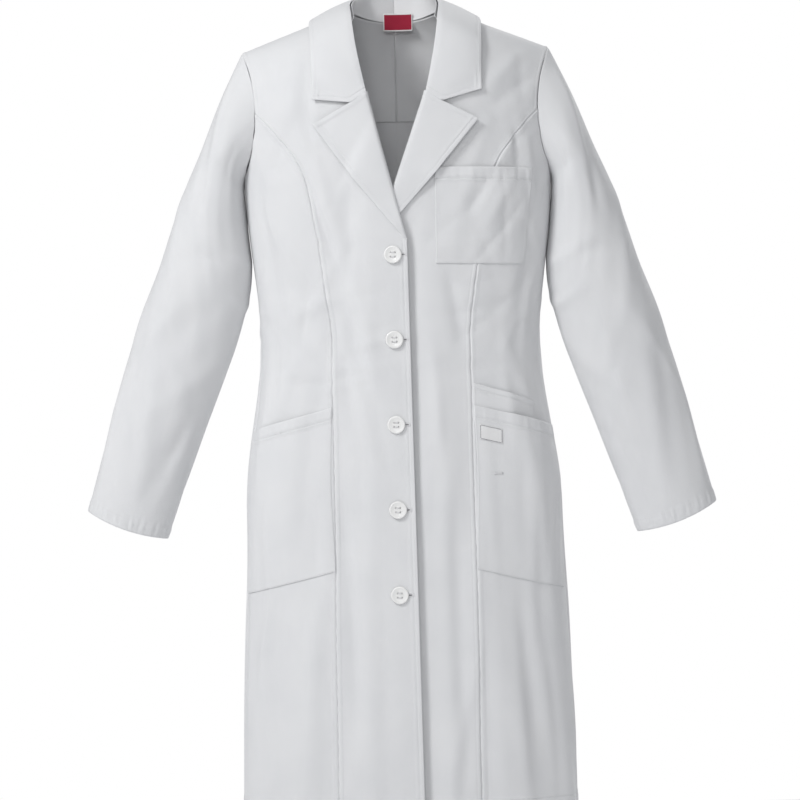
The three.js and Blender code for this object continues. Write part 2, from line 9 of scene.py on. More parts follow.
import bmesh
import bpy
import numpy as np
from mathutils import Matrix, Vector


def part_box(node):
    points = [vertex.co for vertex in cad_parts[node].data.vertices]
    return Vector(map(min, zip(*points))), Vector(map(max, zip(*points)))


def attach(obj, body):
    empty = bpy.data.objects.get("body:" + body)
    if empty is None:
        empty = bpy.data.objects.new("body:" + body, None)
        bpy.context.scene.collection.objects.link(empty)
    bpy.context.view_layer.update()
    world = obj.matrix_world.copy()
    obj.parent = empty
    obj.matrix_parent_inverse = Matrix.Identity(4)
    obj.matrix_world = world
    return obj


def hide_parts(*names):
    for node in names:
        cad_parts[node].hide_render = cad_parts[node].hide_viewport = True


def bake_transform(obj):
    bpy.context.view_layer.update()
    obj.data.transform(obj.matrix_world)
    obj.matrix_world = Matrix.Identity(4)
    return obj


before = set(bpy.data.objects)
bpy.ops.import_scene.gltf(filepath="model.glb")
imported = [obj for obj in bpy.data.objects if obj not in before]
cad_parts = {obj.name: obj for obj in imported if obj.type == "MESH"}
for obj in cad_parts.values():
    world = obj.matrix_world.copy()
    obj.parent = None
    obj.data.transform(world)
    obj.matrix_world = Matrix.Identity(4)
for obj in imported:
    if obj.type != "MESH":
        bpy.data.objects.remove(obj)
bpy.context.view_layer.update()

MM = 0.001


def low(node):
    return np.array(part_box(node)[0]) / MM


def high(node):
    return np.array(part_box(node)[1]) / MM


# ---- Sizes that the frame gives ----
HEM_Z = low("back_left")[2]
SPLIT_Z = low("left_front_upper")[2]
HEM_HALF = high("side_back_left")[0] - 1.0
BUTTONS = [(low(f"button_{i}") + high(f"button_{i}")) / 2 for i in range(1, 6)]
BUTTON_RADIUS = (high("button_1")[0] - low("button_1")[0]) / 2
BUTTON_FRONT = [low(f"button_{i}")[1] for i in range(1, 6)]

# ---- Body surface, the same as the frame's ----
NECK_HALF = 62
NECK_RISE = 10
SHOULDER_HALF = 197
SHOULDER_DROP = 42
SHOULDER_ROUND = 110
UNDERARM_DROP = 203
ARMHOLE_SCOOP = 17
WIDTHS = ((42, 207), (203, 197), (420, 179), (630, 203), (-HEM_Z, HEM_HALF))
DEPTHS = ((203, 92), (420, 88), (630, 93), (-HEM_Z, 98))
PRINCESS = ((270, 103), (420, 88), (-HEM_Z, 90))
FLATNESS = 0.8
SIDE_SEAM_ANGLE = 84
FRONT_EDGE = (10, 18)
UNDERLAP = 30
OVERLAP_LIFT = 4.2
CLOTH = 1.0
GRID = 4.0


def smooth(x, a, b):
    t = np.clip((np.asarray(x, float) - a) / (b - a), 0, 1)
    return t * t * (3 - 2 * t)


def bump(x, centre, width):
    return np.exp(-(((x - centre) / width) ** 2))


def profile(stations, z):
    """A smooth value along the height, through (drop, value) stations."""
    drop = -np.asarray(z, float)
    value = np.full(drop.shape, float(stations[0][1]))
    for (d0, v0), (d1, v1) in zip(stations, stations[1:]):
        value = np.where(drop > d0, v0 + (v1 - v0) * smooth(drop, d0, d1), value)
    return value


def half_width(z):
    return profile(WIDTHS, z)


def half_depth(z):
    return profile(DEPTHS, z)


def princess_x(z):
    return profile(PRINCESS, z)


def shoulder_z(x):
    slope = (NECK_RISE + SHOULDER_DROP) / (SHOULDER_HALF - NECK_HALF)
    return NECK_RISE - slope * (np.abs(x) - NECK_HALF)


def place(x, z, back=False):
    angle = np.degrees(np.arcsin(np.clip(x / half_width(z), -1, 1)))
    return (180 - angle if back else angle), np.asarray(z, float) + 0 * angle


def body_point(angle, z, lift=0.0):
    side, facing = np.sin(np.radians(angle)), np.cos(np.radians(angle))
    width = half_width(z)
    x = width * side
    start = shoulder_z(x) - SHOULDER_ROUND
    rise = np.clip((z - start) / SHOULDER_ROUND, 0, 1)
    depth = (half_depth(z) + lift) * np.abs(facing) ** FLATNESS * np.sqrt(1 - rise * rise)
    height = np.where(rise > 0, start + (SHOULDER_ROUND + lift) * rise, z)
    y = -np.where(facing >= 0, 1, -1) * np.maximum(depth, 0.05)
    return np.stack([(width + lift) * side, y, height + 0 * y], axis=-1)


# ---- How the cloth hangs: folds as small lifts off the body surface ----
FRONT_FOLDS = (
    # x top, x bottom, width top, width bottom, z top, z bottom, lift
    (-62, -48, 12, 22, -560, -1030, 4.0),
    (-30, -26, 10, 18, -640, -1030, -2.6),
    (-120, -136, 12, 20, -700, -1030, 3.6),
    (-165, -172, 10, 16, -620, -1030, -3.4),
    (48, 58, 10, 20, -520, -1030, 3.2),
    (34, 36, 8, 14, -300, -900, -1.6),
    (128, 140, 12, 22, -730, -1030, 3.4),
    (168, 176, 10, 16, -600, -1030, -3.2),
)
BACK_FOLDS = (
    (-120, -150, 14, 26, -440, -1030, 8.0),
    (-60, -70, 12, 22, -470, -1030, -6.0),
    (0, 0, 10, 20, -450, -1030, 4.0),
    (60, 72, 12, 22, -460, -1030, -6.5),
    (125, 148, 14, 26, -440, -1030, 7.5),
    (-96, -104, 8, 14, -380, -900, -3.0),
    (98, 106, 8, 14, -400, -900, 3.0),
)
CREASE_ANGLE = 3.3  # millimetres of cloth to a degree round the body

# A crease on the front: x and z at its two ends, its width and its lift.
FRONT_CREASES = (
    (-118, -205, -82, -312, 5.5, -3.4),
    (-104, -195, -66, -310, 9, 2.2),
    (-161, -45, -156, -110, 9, -2.0),
    (-128, -36, -134, -125, 10, 2.2),
    (-112, -60, -118, -150, 8, -1.6),
    (150, -150, 153, -200, 5, -3.2),
    (166, -160, 172, -240, 6, 2.6),
    (163, -48, 112, -100, 9, 2.4),
    (176, -80, 120, -122, 8, -2.2),
    (140, -215, 108, -275, 9, 2.6),
    (120, -205, 92, -250, 7, -2.0),
    (178, -225, 150, -400, 8, -3.0),
    (-178, -230, -150, -400, 8, -3.0),
    (-170, -250, -128, -330, 8, 2.4),
    (62, -330, 78, -420, 9, -2.6),
    (38, -420, 46, -560, 8, 2.4),
    (-58, -330, -40, -430, 10, 2.2),
    (-84, -400, -60, -520, 9, -2.2),
    (-130, -430, -166, -520, 9, 2.4),
    (130, -420, 160, -500, 9, 2.2),
    (-118, -770, -128, -1030, 12, 3.4),
    (-74, -640, -64, -900, 11, -2.6),
    (62, -640, 72, -980, 11, -2.8),
    (150, -760, 160, -1030, 11, -3.2),
    (112, -800, 118, -1030, 12, 2.8),
)


def front_creases(x, z):
    """The lift of the single creases that start high on the front and run out lower down."""
    lift = np.zeros(np.broadcast(x, z).shape)
    for x0, z0, x1, z1, width, height in FRONT_CREASES:
        dx, dz = x1 - x0, z1 - z0
        length = math.hypot(dx, dz)
        along = ((x - x0) * dx + (z - z0) * dz) / length
        across = ((x - x0) * dz - (z - z0) * dx) / length
        rises = smooth(along, -0.25 * length, 0.25 * length)
        falls = 1 - smooth(along, 0.7 * length, 1.25 * length)
        lift += height * (rises * falls) * bump(across, 0, width)
    return lift


def long_folds(folds, x, z):
    """The lift of folds that hang from the waist and grow wider towards the hem."""
    lift = np.zeros(np.broadcast(x, z).shape)
    for x0, x1, w0, w1, z0, z1, height in folds:
        t = np.clip((z0 - z) / (z0 - z1), 0, 1)
        lift += height * t**0.8 * bump(x, x0 + (x1 - x0) * t, w0 + (w1 - w0) * t)
    return lift


def make_wrinkles(seed, count, across, down, tilt, length, width, lift):
    """Random soft creases, each at a place, with a direction, a length, a width and a lift."""
    rng = np.random.default_rng(seed)
    return [
        (
            rng.uniform(*across),
            rng.uniform(*down),
            math.radians(rng.normal(*tilt)),
            rng.uniform(*length),
            rng.uniform(*width),
            rng.uniform(*lift) * rng.choice((-1, 1)),
        )
        for _ in range(count)
    ]


# Seed, count, place round and down (mm), tilt (degrees, and how much it varies), length, width and lift.
AROUND = (-600, 600)
SKIRT_WRINKLES = make_wrinkles(7, 170, AROUND, (-1030, -420), (90, 9), (60, 190), (8, 17), (0.7, 2.4))
BODICE_WRINKLES = make_wrinkles(11, 170, AROUND, (-440, -40), (78, 34), (30, 90), (6, 12), (0.4, 1.5))
WAIST_WRINKLES = make_wrinkles(5, 60, AROUND, (-480, -340), (8, 12), (20, 60), (5, 9), (0.5, 1.5))


def creases(wrinkles, a, b):
    lift = np.zeros(np.broadcast(a, b).shape)
    for a0, b0, turn, length, width, height in wrinkles:
        da, db = a - a0, b - b0
        along = da * math.cos(turn) + db * math.sin(turn)
        across = -da * math.sin(turn) + db * math.cos(turn)
        lift += height * np.exp(-((along / length) ** 2) - (across / width) ** 2)
    return lift


def drape(angle, z):
    """The lift of the hanging cloth over the plain body surface."""
    turned = (np.asarray(angle, float) + 180) % 360 - 180
    x = half_width(z) * np.sin(np.radians(turned))
    front = np.cos(np.radians(turned)) > 0
    fade = smooth(np.cos(np.radians(turned)) ** 2, 0.02, 0.25)
    lift = np.where(
        front, long_folds(FRONT_FOLDS, x, z) + front_creases(x, z), long_folds(BACK_FOLDS, x, z)
    ) * fade
    around = turned * CREASE_ANGLE
    lift += creases(SKIRT_WRINKLES, around, z)
    lift += creases(BODICE_WRINKLES, around, z)
    lift += creases(WAIST_WRINKLES, around, z)
    start = shoulder_z(x) - SHOULDER_ROUND
    rise = np.clip((z - start) / SHOULDER_ROUND, 0, 1)
    calm = 1 - smooth(rise, 0.7, 0.98)
    centre = 1 - 0.75 * bump(x, 0, 26) * front
    beside_sleeve = 1 - 0.9 * bump(np.abs(turned), 90, 16) * smooth(z, -430, -340)
    return lift * calm * centre * beside_sleeve


# ---- Curves on the body, as functions of 0..1 that give (angle, height) ----
def line(a, b):
    return lambda t: (a[0] + (b[0] - a[0]) * t, a[1] + (b[1] - a[1]) * t)


def along(x_of, z0, z1, back=False):
    def curve(t):
        z = z0 + (z1 - z0) * t
        return place(x_of(z), z, back)

    return curve


def joined(first, second, share):
    def curve(t):
        one = first(np.clip(t / share, 0, 1))
        two = second(np.clip((t - share) / (1 - share), 0, 1))
        return tuple(np.where(t < share, p, q) for p, q in zip(one, two))

    return curve


def spline(points, t):
    """A smooth curve through the points, of any number of dimensions."""
    points = np.asarray(points, float)
    t = np.asarray(t, float)
    last = len(points) - 1
    i = np.minimum((t * last).astype(int), last - 1)
    w = (t * last - i)[..., None]
    p0, p1 = points[np.maximum(i - 1, 0)], points[i]
    p2, p3 = points[i + 1], points[np.minimum(i + 2, last)]
    m1, m2 = (p2 - p0) / 2, (p3 - p1) / 2
    return (
        (2 * w**3 - 3 * w**2 + 1) * p1
        + (w**3 - 2 * w**2 + w) * m1
        + (-2 * w**3 + 3 * w**2) * p2
        + (w**3 - w**2) * m2
    )


def through(points, back=False):
    def curve(t):
        p = spline(points, t)
        return place(p[..., 0], p[..., 1], back)

    return curve


def patch(left, right, bottom, top):
    """The places inside four boundary curves, as a function of u across and v up."""

    def area(u, v):
        zero, one = np.zeros(1), np.ones(1)
        sides = [left(v), right(v), bottom(u), top(u), left(zero), right(zero), left(one), right(one)]
        out = []
        for k in (0, 1):
            lf, rt, bt, tp, c00, c10, c01, c11 = (np.asarray(side[k], float) for side in sides)
            uu, vv = u[:, None], v[None, :]
            across = lf[None, :] * (1 - uu) + rt[None, :] * uu
            up = bt[:, None] * (1 - vv) + tp[:, None] * vv
            corners = (c00 * (1 - uu) + c10 * uu) * (1 - vv) + (c01 * (1 - uu) + c11 * uu) * vv
            out.append(across + up - corners)
        return out

    return area


def mirrored(area):
    def other(u, v):
        angle, z = area(u, v)
        return -angle, z

    return other


def on_side(area, side):
    """An area drawn for the wearer's left, or its mirror image for the right."""
    return mirrored(area) if side == "right" else area


# ---- Grids ----
NEAR_EDGE = (0.0, 0.6, 1.6, 3.0, 4.4, 5.4, 6.0, 6.6, 8.0, 10.0)


def ticks(length, spacing=None, low_edge=NEAR_EDGE, high_edge=NEAR_EDGE):
    """Grid lines from 0 to 1 along a length, closer together near finished edges."""
    spacing = spacing or GRID
    start = [d for d in low_edge if d < length / 2]
    end = [length - d for d in high_edge if d < length / 2]
    begin, stop = (start[-1] if start else 0), (end[-1] if end else length)
    middle = np.linspace(begin, stop, max(2, round((stop - begin) / spacing) + 1))
    lines = np.array(sorted(set(np.round([0.0, length, *start, *end, *middle], 4))))
    return lines / length


def hem_lines(width):
    return tuple(sorted({*NEAR_EDGE, width - 3, width - 2, width - 1.4, width - 0.8, width, width + 1.2}))


def normals_of(points):
    du = np.gradient(points, axis=0)
    dv = np.gradient(points, axis=1)
    n = np.cross(du, dv)
    return n / np.maximum(np.linalg.norm(n, axis=-1, keepdims=True), 1e-9)


def distances(points):
    """Arc distances of every grid point from the left, right, bottom and top edges."""
    du = np.linalg.norm(np.diff(points, axis=0), axis=-1)
    dv = np.linalg.norm(np.diff(points, axis=1), axis=-1)
    left = np.concatenate([np.zeros((1, points.shape[1])), np.cumsum(du, axis=0)])
    bottom = np.concatenate([np.zeros((points.shape[0], 1)), np.cumsum(dv, axis=1)], axis=1)
    return {"left": left, "right": left[-1:] - left, "bottom": bottom, "top": bottom[:, -1:] - bottom}


def pucker(s, seed):
    return (
        np.sin(s * 0.7 + seed)
        + 0.6 * np.sin(s * 1.13 + 2.1 * seed)
        + 0.5 * np.sin(s * 0.31 + 0.7 * seed)
    ) / 2.1


STITCH_IN = 6.0  # from a topstitched edge to its row of stitches
PATCH_STITCH = 2.0  # the same for the edges of a patch pocket


def edge_relief(kind, d, s, seed):
    """The raised shape that sewing gives the cloth at a distance d from an edge, s along it."""
    if kind == "seam":
        return -0.7 * bump(d, 0, 1.5)
    if kind == "felled":
        ridge = 0.55 * smooth(d, 0.2, 1.5) * (1 - smooth(d, 6.2, 8.2))
        dips = ridge - 0.5 * bump(d, 0, 1.2) - 0.5 * bump(d, STITCH_IN, 0.9)
        return dips + 0.22 * pucker(s, seed) * bump(d, 3, 3)
    if kind == "edge":
        layer = 0.5 * (1 - smooth(d, 7.0, 9.5))
        return layer - 0.6 * bump(d, STITCH_IN, 0.9) + 0.2 * pucker(s, seed) * bump(d, 3, 3)
    if kind == "fine":
        return -0.3 * bump(d, 0, 0.9)
    if kind == "patch":
        return 0.25 * (1 - smooth(d, 3.0, 4.6)) - 0.3 * bump(d, PATCH_STITCH, 0.7)
    if isinstance(kind, tuple):
        width, puckers = kind
        layer = 0.7 * (1 - smooth(d, width - 0.6, width + 1.0))
        dip = 0.75 * bump(d, width - 1.8, 0.9) + 0.3 * bump(d, 0, 1.2)
        return layer - dip + puckers * pucker(s * 0.8, seed) * bump(d, width * 0.55, width * 0.5)
    return np.zeros_like(d)


def grid_faces(nu, nv, offset, flip):
    i, j = np.meshgrid(np.arange(nu - 1), np.arange(nv - 1), indexing="ij")
    a = offset + i * nv + j
    quads = np.stack([a, a + nv, a + nv + 1, a + 1], axis=-1).reshape(-1, 4)
    return quads[:, ::-1] if flip else quads


def rim_faces(nu, nv, offset, flip):
    loop = [i * nv for i in range(nu)]
    loop += [(nu - 1) * nv + j for j in range(1, nv)]
    loop += [i * nv + nv - 1 for i in range(nu - 2, -1, -1)]
    loop += [j for j in range(nv - 2, 0, -1)]
    ring = np.array(loop)
    after = np.roll(ring, -1)
    quads = np.stack([ring, ring + offset, after + offset, after], axis=-1)
    return quads[:, ::-1] if flip else quads


def new_mesh(name, vertices, faces, uv=None, material=None, smooth_faces=True):
    mesh = bpy.data.meshes.new(name)
    mesh.from_pydata((np.asarray(vertices) * MM).tolist(), [], [list(map(int, f)) for f in faces])
    if uv is not None:
        layer = mesh.uv_layers.new(name="cloth")
        loops = np.zeros(len(mesh.loops), np.int32)
        mesh.loops.foreach_get("vertex_index", loops)
        layer.data.foreach_set("uv", np.asarray(uv, np.float32)[loops].ravel())
    mesh.polygons.foreach_set("use_smooth", [smooth_faces] * len(mesh.polygons))
    mesh.update()
    piece = bpy.data.objects.new(name, mesh)
    bpy.context.scene.collection.objects.link(piece)
    if material:
        mesh.materials.append(material)
    return piece


class Panel:
    """One piece of cloth: a grid of points on its middle surface, with a relief along its sewn edges."""

    def __init__(self, name, points, edges, thickness=CLOTH, seed=1.0, away=None):
        self.name, self.points, self.edges = name, points, edges
        self.d = distances(points)
        normal = normals_of(points)
        centre = np.array([0, 0, 0]) if away is None else away(points)
        outward = (points - centre) * ((1, 1, 0) if away is None else (1, 1, 1))
        self.turned = np.sum(normal * outward) < 0
        self.normal = -normal if self.turned else normal
        relief = np.zeros(points.shape[:2])
        rims = [np.full(points.shape[:2], 99.0)]
        for edge in ("left", "right", "bottom", "top"):
            kind = edges.get(edge)
            if kind != "joined":
                rims.append(self.d[edge])
            if kind and kind != "joined":
                along_edge = self.d["bottom"] if edge in ("left", "right") else self.d["left"]
                relief = relief + edge_relief(kind, self.d[edge], along_edge, seed + len(edge))
        near = np.clip(np.minimum.reduce(rims) / 0.8, 0, 1)
        rim = 0.35 + 0.65 * np.sqrt(1 - (1 - near) ** 2)
        half = thickness / 2 * rim
        self.outer = points + self.normal * (half + relief)[..., None]
        self.inner = points + self.normal * (-half + 0.3 * np.minimum(relief, 0))[..., None]

    def build(self, material):
        nu, nv = self.points.shape[:2]
        count = nu * nv
        vertices = np.concatenate([self.outer.reshape(-1, 3), self.inner.reshape(-1, 3)])
        faces = np.concatenate(
            [
                grid_faces(nu, nv, 0, self.turned),
                grid_faces(nu, nv, count, not self.turned),
                rim_faces(nu, nv, count, self.turned),
            ]
        )
        uv = np.stack([self.d["left"], self.d["bottom"]], axis=-1).reshape(-1, 2) * MM
        self.piece = new_mesh(self.name, vertices, faces, np.concatenate([uv, uv]), material)
        self.sharpen(nu, nv)
        return self.piece

    def paint_inside_lighter(self, material):
        """Gives the inner face a lighter twill than the outside: painted light that brightens the inside of
        the back.
        """
        mesh = self.piece.data
        mesh.materials.append(material)
        quads = (self.points.shape[0] - 1) * (self.points.shape[1] - 1)
        index = np.zeros(len(mesh.polygons), np.int32)
        index[quads : 2 * quads] = 1
        mesh.polygons.foreach_set("material_index", index)

    def sharpen(self, nu, nv):
        """Keeps the shading of cloth that carries on into the next piece flat across the join."""
        count = nu * nv
        i, j = np.divmod(np.arange(count), nv)
        lines = {"left": i == 0, "right": i == nu - 1, "bottom": j == 0, "top": j == nv - 1}
        lines = [on_line for edge, on_line in lines.items() if self.edges.get(edge) == "joined"]
        if not lines:
            return
        mesh = self.piece.data
        ends = np.zeros(len(mesh.edges) * 2, np.int32)
        mesh.edges.foreach_get("vertices", ends)
        ends = ends.reshape(-1, 2)
        same_face = (ends[:, 0] < count) == (ends[:, 1] < count)
        sharp = np.zeros(len(ends), bool)
        for on_line in lines:
            sharp |= same_face & on_line[ends % count].all(axis=1)
        mark = mesh.attributes.new("sharp_edge", "BOOLEAN", "EDGE")
        mark.data.foreach_set("value", sharp)

    def row(self, edge, inset):
        """Points and normals of the outer face along a line at this distance in from an edge."""
        d, outer, normal = self.d[edge], self.outer, self.normal
        if edge in ("bottom", "top"):
            d, outer, normal = d.T, outer.transpose(1, 0, 2), normal.transpose(1, 0, 2)
        if edge in ("right", "top"):
            d, outer, normal = d[::-1], outer[::-1], normal[::-1]
        k = np.clip(np.argmax(d >= inset, axis=0), 1, len(d) - 1)
        j = np.arange(d.shape[1])
        w = np.clip((inset - d[k - 1, j]) / np.maximum(d[k, j] - d[k - 1, j], 1e-6), 0, 1)[:, None]
        return (
            outer[k - 1, j] * (1 - w) + outer[k, j] * w,
            normal[k - 1, j] * (1 - w) + normal[k, j] * w,
        )


# ---- Stitches ----
STITCH_PITCH = 3.4
STITCH_LENGTH = 2.3
STITCH_WIDTH = 0.5
STITCH_HEIGHT = 0.34
STITCH_SHAPE = np.array(
    [(-0.5, -0.5, -1), (-0.5, 0.5, -1), (0.5, 0.5, -1), (0.5, -0.5, -1),
     (-0.3, -0.3, 1), (-0.3, 0.3, 1), (0.3, 0.3, 1), (0.3, -0.3, 1)], float
)
STITCH_FACES = np.array(
    [(0, 1, 2, 3), (7, 6, 5, 4), (0, 4, 5, 1), (1, 5, 6, 2), (2, 6, 7, 3), (3, 7, 4, 0)]
)


def stitch_row(points, normals, start=4.0, end=4.0):
    """Short raised threads along a path on the cloth."""
    step = np.linalg.norm(np.diff(points, axis=0), axis=1)
    s = np.concatenate([[0], np.cumsum(step)])
    at = np.arange(start, s[-1] - end, STITCH_PITCH)
    if not len(at):
        return np.zeros((0, 3)), np.zeros((0, 4), int)
    place_at = [np.interp(at, s, points[:, k]) for k in range(3)]
    ahead = [np.interp(at + 1.2, s, points[:, k]) for k in range(3)]
    up = np.stack([np.interp(at, s, normals[:, k]) for k in range(3)], axis=1)
    centre = np.stack(place_at, axis=1)
    forward = np.stack(ahead, axis=1) - centre
    forward /= np.maximum(np.linalg.norm(forward, axis=1, keepdims=True), 1e-6)
    up -= forward * np.sum(up * forward, axis=1, keepdims=True)
    up /= np.maximum(np.linalg.norm(up, axis=1, keepdims=True), 1e-6)
    side = np.cross(up, forward)
    shape = STITCH_SHAPE
    vertices = (
        centre[:, None]
        + forward[:, None] * shape[None, :, :1] * STITCH_LENGTH
        + side[:, None] * shape[None, :, 1:2] * STITCH_WIDTH
        + up[:, None] * (0.05 + shape[None, :, 2:] * STITCH_HEIGHT / 2)
    )
    faces = STITCH_FACES[None] + 8 * np.arange(len(at))[:, None, None]
    return vertices.reshape(-1, 3), faces.reshape(-1, 4)


def stitches(name, rows, material):
    vertices, faces, count = [], [], 0
    for points, normals in rows:
        v, f = stitch_row(points, normals)
        vertices.append(v)
        faces.append(f + count)
        count += len(v)
    return new_mesh(name, np.concatenate(vertices), np.concatenate(faces), None, material)


# ---- Materials ----
def node(tree, kind, **values):
    n = tree.nodes.new(kind)
    for key, value in values.items():
        setattr(n, key, value)
    return n


def settings(n, **values):
    """Sets inputs of a node; an underscore in a name stands for a space."""
    for key, value in values.items():
        n.inputs[key.replace("_", " ")].default_value = value
    return n


def new_material(name):
    material = bpy.data.materials.new(name)
    material.use_nodes = True
    return material, material.node_tree, material.node_tree.nodes["Principled BSDF"]


def noise(tree, coords, scale, detail):
    n = settings(node(tree, "ShaderNodeTexNoise"), Scale=scale, Detail=detail)
    tree.links.new(coords, n.inputs["Vector"])
    return n


def add_bump(tree, shader, height, strength, distance):
    relief = settings(node(tree, "ShaderNodeBump"), Strength=strength, Distance=distance)
    tree.links.new(height, relief.inputs["Height"])
    tree.links.new(relief.outputs["Normal"], shader.inputs["Normal"])


def cloth_material(name, base, shade, weave_scale, bump_strength):
    """Twill: fine diagonal ribs, soft uneven thickness and a little tint variation."""
    material, tree, shader = new_material(name)
    settings(shader, Roughness=0.86, Sheen_Weight=0.12, Sheen_Roughness=0.5, Specular_IOR_Level=0.25)
    coords = node(tree, "ShaderNodeUVMap", uv_map="cloth").outputs["UV"]
    large = noise(tree, coords, 14, 3)
    fine = noise(tree, coords, 900, 2)
    turn = settings(node(tree, "ShaderNodeMapping"), Rotation=(0, 0, math.radians(38)))
    tree.links.new(coords, turn.inputs["Vector"])
    rib = node(tree, "ShaderNodeTexWave", wave_type="BANDS", bands_direction="X")
    settings(rib, Scale=weave_scale, Distortion=0.6, Detail=1)
    tree.links.new(turn.outputs["Vector"], rib.inputs["Vector"])
    ramp = settings(node(tree, "ShaderNodeMapRange"), From_Min=0.35, From_Max=0.7)
    tree.links.new(large.outputs["Fac"], ramp.inputs["Value"])
    tint = settings(node(tree, "ShaderNodeMix", data_type="RGBA"), A=(*base, 1), B=(*shade, 1))
    tree.links.new(ramp.outputs["Result"], tint.inputs["Factor"])
    thread_shade = node(tree, "ShaderNodeMix", data_type="RGBA", blend_type="MULTIPLY")
    settings(thread_shade, Factor=0.1)
    tree.links.new(tint.outputs["Result"], thread_shade.inputs["A"])
    tree.links.new(rib.outputs["Color"], thread_shade.inputs["B"])
    tree.links.new(thread_shade.outputs["Result"], shader.inputs["Base Color"])
    height = node(tree, "ShaderNodeMath", operation="ADD")
    tree.links.new(rib.outputs["Fac"], height.inputs[0])
    tree.links.new(fine.outputs["Fac"], height.inputs[1])
    add_bump(tree, shader, height.outputs["Value"], bump_strength, 0.00025)
    return material


def plastic_material(name, base, roughness):
    """Slightly glossy resin with a faint cloud in its colour."""
    material, tree, shader = new_material(name)
    settings(shader, Roughness=roughness, Coat_Weight=0.25)
    cloud = noise(tree, node(tree, "ShaderNodeTexCoord").outputs["Object"], 130, 2)
    tint = node(tree, "ShaderNodeMix", data_type="RGBA")
    settings(tint, A=(*base, 1), B=(*(0.93 * np.array(base)), 1))
    tree.links.new(cloud.outputs["Fac"], tint.inputs["Factor"])
    tree.links.new(tint.outputs["Result"], shader.inputs["Base Color"])
    add_bump(tree, shader, cloud.outputs["Fac"], 0.12, 0.0001)
    return material


WHITE = cloth_material("coat_twill", (0.77, 0.775, 0.785), (0.735, 0.742, 0.755), 560, 0.35)
# Inside twill: lighter than the outside twill, painted light that brightens the inside of the back and the
# neck facing.
INSIDE_PAINTED_LIGHT = cloth_material("coat_twill_inside_painted_light", (0.88, 0.885, 0.895), (0.82, 0.825, 0.84), 560, 0.35)
THREAD = cloth_material("sewing_thread", (0.80, 0.80, 0.81), (0.70, 0.70, 0.72), 1500, 0.5)
CRIMSON = cloth_material("label_crimson", (0.42, 0.022, 0.055), (0.33, 0.014, 0.04), 1200, 0.6)
PALE = cloth_material("label_pale", (0.9, 0.9, 0.9), (0.84, 0.84, 0.85), 1200, 0.6)
GREY_LINE = cloth_material("label_grey_line", (0.33, 0.33, 0.35), (0.25, 0.25, 0.27), 1200, 0.4)
# Near-black twill for the buttonhole slits: painted shade in the cut.
SHADE = cloth_material("slit_shade", (0.16, 0.16, 0.17), (0.12, 0.12, 0.13), 1200, 0.3)
BUTTON = plastic_material("button_plastic", (0.84, 0.84, 0.83), 0.32)


# ---- Camera, lights and floor, in metres ----
VIEW_HEIGHT = 1024 * MM
CAMERA_BACK = 4.7
CAMERA_ROLL = -1.2  # degrees, because the coat hangs a little askew
FRONT_Y = 0.05
COAT_CENTRE = Vector((-0.003, -FRONT_Y, -0.4925))
SOFT_LIGHT = 0.43
LAMP_AIM = Vector((0, 0, -0.45))
LAMPS = (
    # name, place, size, power
    ("key", (-2.0, -2.0, 1.7), 0.9, 63),
    ("fill", (-0.3, -3.3, 0.75), 0.7, 17),
    ("back", (1.6, 2.4, 1.0), 1.0, 44),
)
FLOOR_DROP, FLOOR_HALF, FLOOR_BACK = 60, 3000, 620  # mm


def make_camera():
    scene = bpy.context.scene
    data = bpy.data.cameras.new("camera")
    data.sensor_width = 36
    data.lens = data.sensor_width * (CAMERA_BACK - FRONT_Y) / VIEW_HEIGHT
    camera = bpy.data.objects.new("camera", data)
    scene.collection.objects.link(camera)
    camera.location = COAT_CENTRE + Vector((0, -(CAMERA_BACK - FRONT_Y), 0))
    camera.rotation_euler = (math.radians(90), 0, 0)
    camera.rotation_euler.rotate_axis("Z", math.radians(CAMERA_ROLL))
    scene.camera = camera
    scene.view_settings.view_transform = "Standard"


def make_soft_light():
    """A white backdrop that is seen at full strength but lights the coat more softly."""
    world = bpy.data.worlds.new("studio")
    bpy.context.scene.world = world
    world.use_nodes = True
    tree = world.node_tree
    tree.nodes.clear()
    out = node(tree, "ShaderNodeOutputWorld")
    seen, soft = node(tree, "ShaderNodeBackground"), node(tree, "ShaderNodeBackground")
    seen.inputs["Color"].default_value = (1, 1, 1, 1)
    seen.inputs["Strength"].default_value = 1.0
    soft.inputs["Color"].default_value = (0.97, 0.98, 1, 1)
    soft.inputs["Strength"].default_value = SOFT_LIGHT
    path, mix = node(tree, "ShaderNodeLightPath"), node(tree, "ShaderNodeMixShader")
    tree.links.new(path.outputs["Is Camera Ray"], mix.inputs["Fac"])
    tree.links.new(soft.outputs["Background"], mix.inputs[1])
    tree.links.new(seen.outputs["Background"], mix.inputs[2])
    tree.links.new(mix.outputs["Shader"], out.inputs["Surface"])


def make_lamps():
    for name, at, size, power in LAMPS:
        lamp = bpy.data.lights.new(name, "AREA")
        lamp.size, lamp.energy = size, power
        lamp_object = bpy.data.objects.new(name, lamp)
        lamp_object.location = at
        aim = LAMP_AIM - Vector(at)
        lamp_object.rotation_euler = aim.to_track_quat("-Z", "Y").to_euler()
        bpy.context.scene.collection.objects.link(lamp_object)


def make_floor():
    left, right, near = -FLOOR_HALF, FLOOR_HALF, -FLOOR_HALF
    sides = ((left, near), (right, near), (right, FLOOR_BACK), (left, FLOOR_BACK))
    corners = [(x, y, HEM_Z - FLOOR_DROP) for x, y in sides]
    floor = new_mesh("floor", corners, [(0, 1, 2, 3)])
    paint, _, shader = new_material("floor_paint")
    settings(shader, Base_Color=(0.86, 0.86, 0.87, 1))
    floor.data.materials.append(paint)


make_camera()
make_soft_light()
make_lamps()
make_floor()


def bend_front(piece):
    """Bakes the piece's transform into its mesh."""
    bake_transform(piece)


SLEEVE_DIRECTION = np.array([0.7071, 0, -0.7071])
SLEEVE_BEND = (290, 545)


